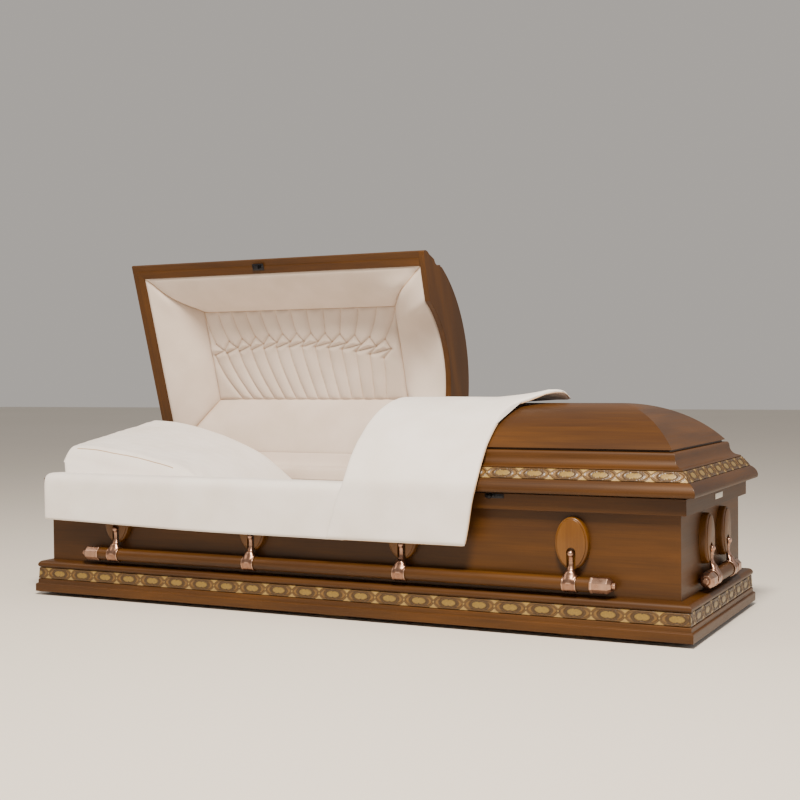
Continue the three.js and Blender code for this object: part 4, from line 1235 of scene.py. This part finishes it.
def rounded_edge(distance, radius):
    """How thick a padded cloth is near its edge, as a share of its full thickness."""
    return np.sqrt(np.clip(1 - (1 - np.clip(distance / radius, 0, 1)) ** 2, 0, 1))


def path_normals(path):
    run = np.gradient(path[:, :2], axis=0)
    run /= np.linalg.norm(run, axis=1)[:, None]
    return np.stack([-run[:, 1], run[:, 0]], axis=1)


# %% Overlay
OVERLAY_HEAD, OVERLAY_FOOT = -1003.0, 70.0
overlay_line = [(-371, 236), (-371, 270), (-371, 320), (-370.5, 358), (-366, 373), (-355, 379.5), (-325, 380),
                (-296, 379), (-283, 371), (-278, 352), (-277.5, 332)]
path, along = smooth_path(overlay_line, 90)
out = path_normals(path)
x = np.concatenate([OVERLAY_HEAD + 14 * (1 - np.cos(np.linspace(0, math.pi / 2, 8)[:-1])),
                    np.arange(OVERLAY_HEAD + 14, OVERLAY_FOOT - 6, 9), [OVERLAY_FOOT - 3, OVERLAY_FOOT]])
edge = rounded_edge(np.minimum(x - OVERLAY_HEAD, OVERLAY_FOOT - x + 4)[:, None], 14) \
    * rounded_edge(np.minimum(along, along[-1] - along)[None] + 0.6, 8)
wave = 1.3 * ripple(x[:, None], along[None], 330, 11) + 0.5 * ripple(x[:, None], along[None], 90, 12)
face_lift = (7.6 + wave) * edge
back_lift = 7.0 * edge
hang = 6 - 17 * (x - OVERLAY_HEAD) / (OVERLAY_FOOT - OVERLAY_HEAD)
sag = (hang + 2.2 * np.sin(x / 170 + 1.0))[:, None] * np.clip(1 - along / 60, 0, 1)[None]


def overlay_grid(lift):
    y = path[None, :, 0] + out[None, :, 0] * lift
    z = path[None, :, 1] + out[None, :, 1] * lift + sag
    return np.stack([x[:, None] + 0 * y, y, z], axis=-1) * MM


mesh = mesh_of("overlay", [quilt(overlay_grid(face_lift), overlay_grid(-back_lift))])
overlay = piece("overlay_pad", mesh, CREPE, "body", ["front_overlay"], smooth=None)
# Painted shade: a tan cord along the overlay's lower back edge stands for the shade under that edge.
shade_line = overlay_grid(-back_lift)[4:-2, 1] + np.array([0, 0.4, -0.8]) * MM
edge_shade_cord = piece("overlay_edge_shade", mesh_of("overlay_edge_shade", [tube(shade_line, 1.2 * MM)]), THREAD_AND_EDGE_SHADE, "body",
                 smooth=None)
for soft in (overlay, edge_shade_cord):
    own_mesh(soft)
print("overlay:", len(mesh.polygons), "faces")

# %% Throw
crown_centre = CROWN_TOP - SIDE_RADIUS


def on_crown(y, left, right, lift):
    return (y, crown_centre + math.sqrt((SIDE_RADIUS + 2.5) ** 2 - y * y) + lift, left, right)


throw_line = [on_crown(62, 79, 590, 0), on_crown(0, 79, 586, 2), on_crown(-62, 79, 535, 1),
              on_crown(-112, 79, 486, 0),
              on_crown(-170, 79, 477, 0), on_crown(-230, 79, 476, 0), on_crown(-280, 79, 476, 0),
              (-302, 486, 79, 477),
              (-340, 446, 79, 479), (-371, 406, 81, 480), (-380, 385, 77, 478), (-380.5, 345, 60, 468),
              (-380.5, 285, 39, 458), (-380.5, 231, 24, 447)]
path, along = smooth_path(throw_line, 130)
out = -path_normals(path)
columns = 96
s = (1 - np.cos(np.linspace(0, math.pi, columns))) / 2
s = (0.35 * s + 0.65 * np.linspace(0, 1, columns))[:, None]
x = path[None, :, 2] * (1 - s) + path[None, :, 3] * s
to_side = np.minimum(x - path[None, :, 2], path[None, :, 3] - x)
to_end = np.minimum(along, along[-1] - along)[None]
edge = rounded_edge(to_side + 0.5, 11) * rounded_edge(to_end + 0.5, 11)
wave = 1.1 * ripple(x, along[None], 300, 21) + 0.5 * ripple(x, along[None], 85, 22)
hem_wave = 2.0 * np.sin(x / 31 + 0.8 * np.sin(x / 57)) * np.clip(1 - (along[-1] - along) / 45, 0, 1)[None] ** 2
near_ridge = np.exp(-((path[:, 0] + 20) / 75) ** 2)[None]
turned_up = 22 * near_ridge * np.clip((x - 380) / 170, 0, 1) ** 1.6


def throw_grid(lift):
    y = path[None, :, 0] + out[None, :, 0] * lift
    z = path[None, :, 1] + out[None, :, 1] * lift + turned_up
    return np.stack([x, y + 0 * x, z + 0 * x], axis=-1) * MM


middle = 7.0
face = throw_grid(middle + (6.4 + wave + hem_wave) * edge)
under = throw_grid(middle - 6.4 * edge)
mesh = mesh_of("throw", [quilt(face, under)])
throw = piece("throw_quilt", mesh, CREPE, "foot_lid", ["foot_throw"], smooth=None)
# Painted shade: the tan cords along the throw's two sides and its hanging end stand for the shade under its thick
# edge.
rim = throw_grid(middle - 2.5)
edge_shade_cords = [tube(rim[2:-2, -1], 1.5 * MM), tube(rim[-1, 2:-1], 1.5 * MM), tube(rim[0, 2:-1], 1.3 * MM)]
piece("throw_edge_shade_cords", mesh_of("throw_edge_shade_cords", edge_shade_cords), THREAD_AND_EDGE_SHADE, "foot_lid", smooth=None)
print("throw:", len(mesh.polygons), "faces")

# %% Apron over the hinge
apron_line = [(283, 335), (284, 358), (289, 372.5), (305, 376), (326, 377), (338, 380),
              (347, 391), (353, 406), (358.5, 420)]
path, along = smooth_path(apron_line, 44)
out = path_normals(path)
x = np.linspace(-992, 48, 140)[:, None]
soft = np.sin(math.pi * along / along[-1])[None]
wave = 2.0 * soft * ripple(x, along[None], 150, 31)


def apron_grid(lift):
    y = path[None, :, 0] + out[None, :, 0] * (wave + lift)
    z = path[None, :, 1] + out[None, :, 1] * (wave + lift)
    return np.stack([x + 0 * y, y, z], axis=-1) * MM


mesh = mesh_of("apron", [quilt(apron_grid(0.6), apron_grid(-0.6))])
mesh.shade_smooth()
mesh.materials.append(SHADED_LINING_CREPE)
apron = bpy.data.objects.new("hinge_apron", mesh)
bpy.context.collection.objects.link(apron)
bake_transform(apron)
print("apron:", round(along[-1]), "mm wide")

# %% [markdown]
# ## Pillow
# The pillow is cut as a wedge, so it is high at the head and along the back, and low towards
# the foot. The same top curve as the solid gives its height. Its upper edge at the head is
# tight over the wadding, and its case puckers in a fan where the near corner is gathered.

# %% Pillow shape
PILLOW_HEAD, PILLOW_FOOT, PILLOW_NEAR, PILLOW_FAR = -1000.0, -450.0, -284.0, 252.0
BED_TOP = 276.0


def pillow_top(x, y):
    t = np.clip((x - PILLOW_HEAD) / (PILLOW_FOOT - PILLOW_HEAD), 0, 1)
    at_head = 470 + 68 * (y + 250) / 450
    return 372 + (1 - t * t) * (at_head - 372)


def pillow_place(a, b):
    """A place on the case's top, from shares between -1 and 1, with its seam and its edge."""
    x = (PILLOW_HEAD + PILLOW_FOOT) / 2 + a * (PILLOW_FOOT - PILLOW_HEAD) / 2 * (1 - 0.01 * (1 + a) * b ** 2)
    y = (PILLOW_NEAR + PILLOW_FAR) / 2 + b * (PILLOW_FAR - PILLOW_NEAR) / 2 * (1 - 0.015 * (1 + a) * a ** 2)
    seam = 330 + 105 * ((1 - a) / 2) ** 1.4 + 8 * b * (1 - a)
    edge = rounded_edge((1 + a) * 273, 14) * rounded_edge((1 - a) * 273, 110) \
        * rounded_edge((1 + b) * 268, 40) * rounded_edge((1 - b) * 268, 80)
    to_corner = np.hypot(x - PILLOW_FOOT, y - PILLOW_NEAR)
    fan = np.sin(17 * np.arctan2(y - PILLOW_NEAR + 20, PILLOW_FOOT + 20 - x)) * np.exp(-to_corner / 110)
    top = seam + (pillow_top(x, y) - seam) * edge
    top = top + (2.6 * fan + 1.8 * ripple(x, y, 150, 41) + 0.7 * ripple(x, y, 55, 42)) * edge
    return x, y, top, seam, edge


def pillow_mesh(columns=130, rows=120):
    a, b = np.meshgrid(np.linspace(-1, 1, columns), np.linspace(-1, 1, rows), indexing="ij")
    x, y, top, seam, edge = pillow_place(a, b)
    bottom = seam + (BED_TOP - seam) * np.minimum(1, edge * 1.5)
    front, back = (np.stack([x, y, z], -1) * MM for z in (top, bottom))
    return mesh_of("pillow_case", [quilt(front, back)])


mesh = pillow_mesh()
pillow = piece("pillow_case", mesh, CREPE, "body", ["pillow"], smooth=None)
x, y, top, _, _ = pillow_place(np.linspace(-0.86, 0.5, 90), np.full(90, -0.92))
welt = np.stack([x, y, top + 0.5], axis=-1) * MM
welt_cord = piece("pillow_welt", mesh_of("pillow_welt", [tube(welt, 1.4 * MM)]), THREAD_AND_EDGE_SHADE, "body",
                  smooth=None)
for soft in (pillow, welt_cord):
    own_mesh(soft)
print("pillow:", len(mesh.polygons), "faces")
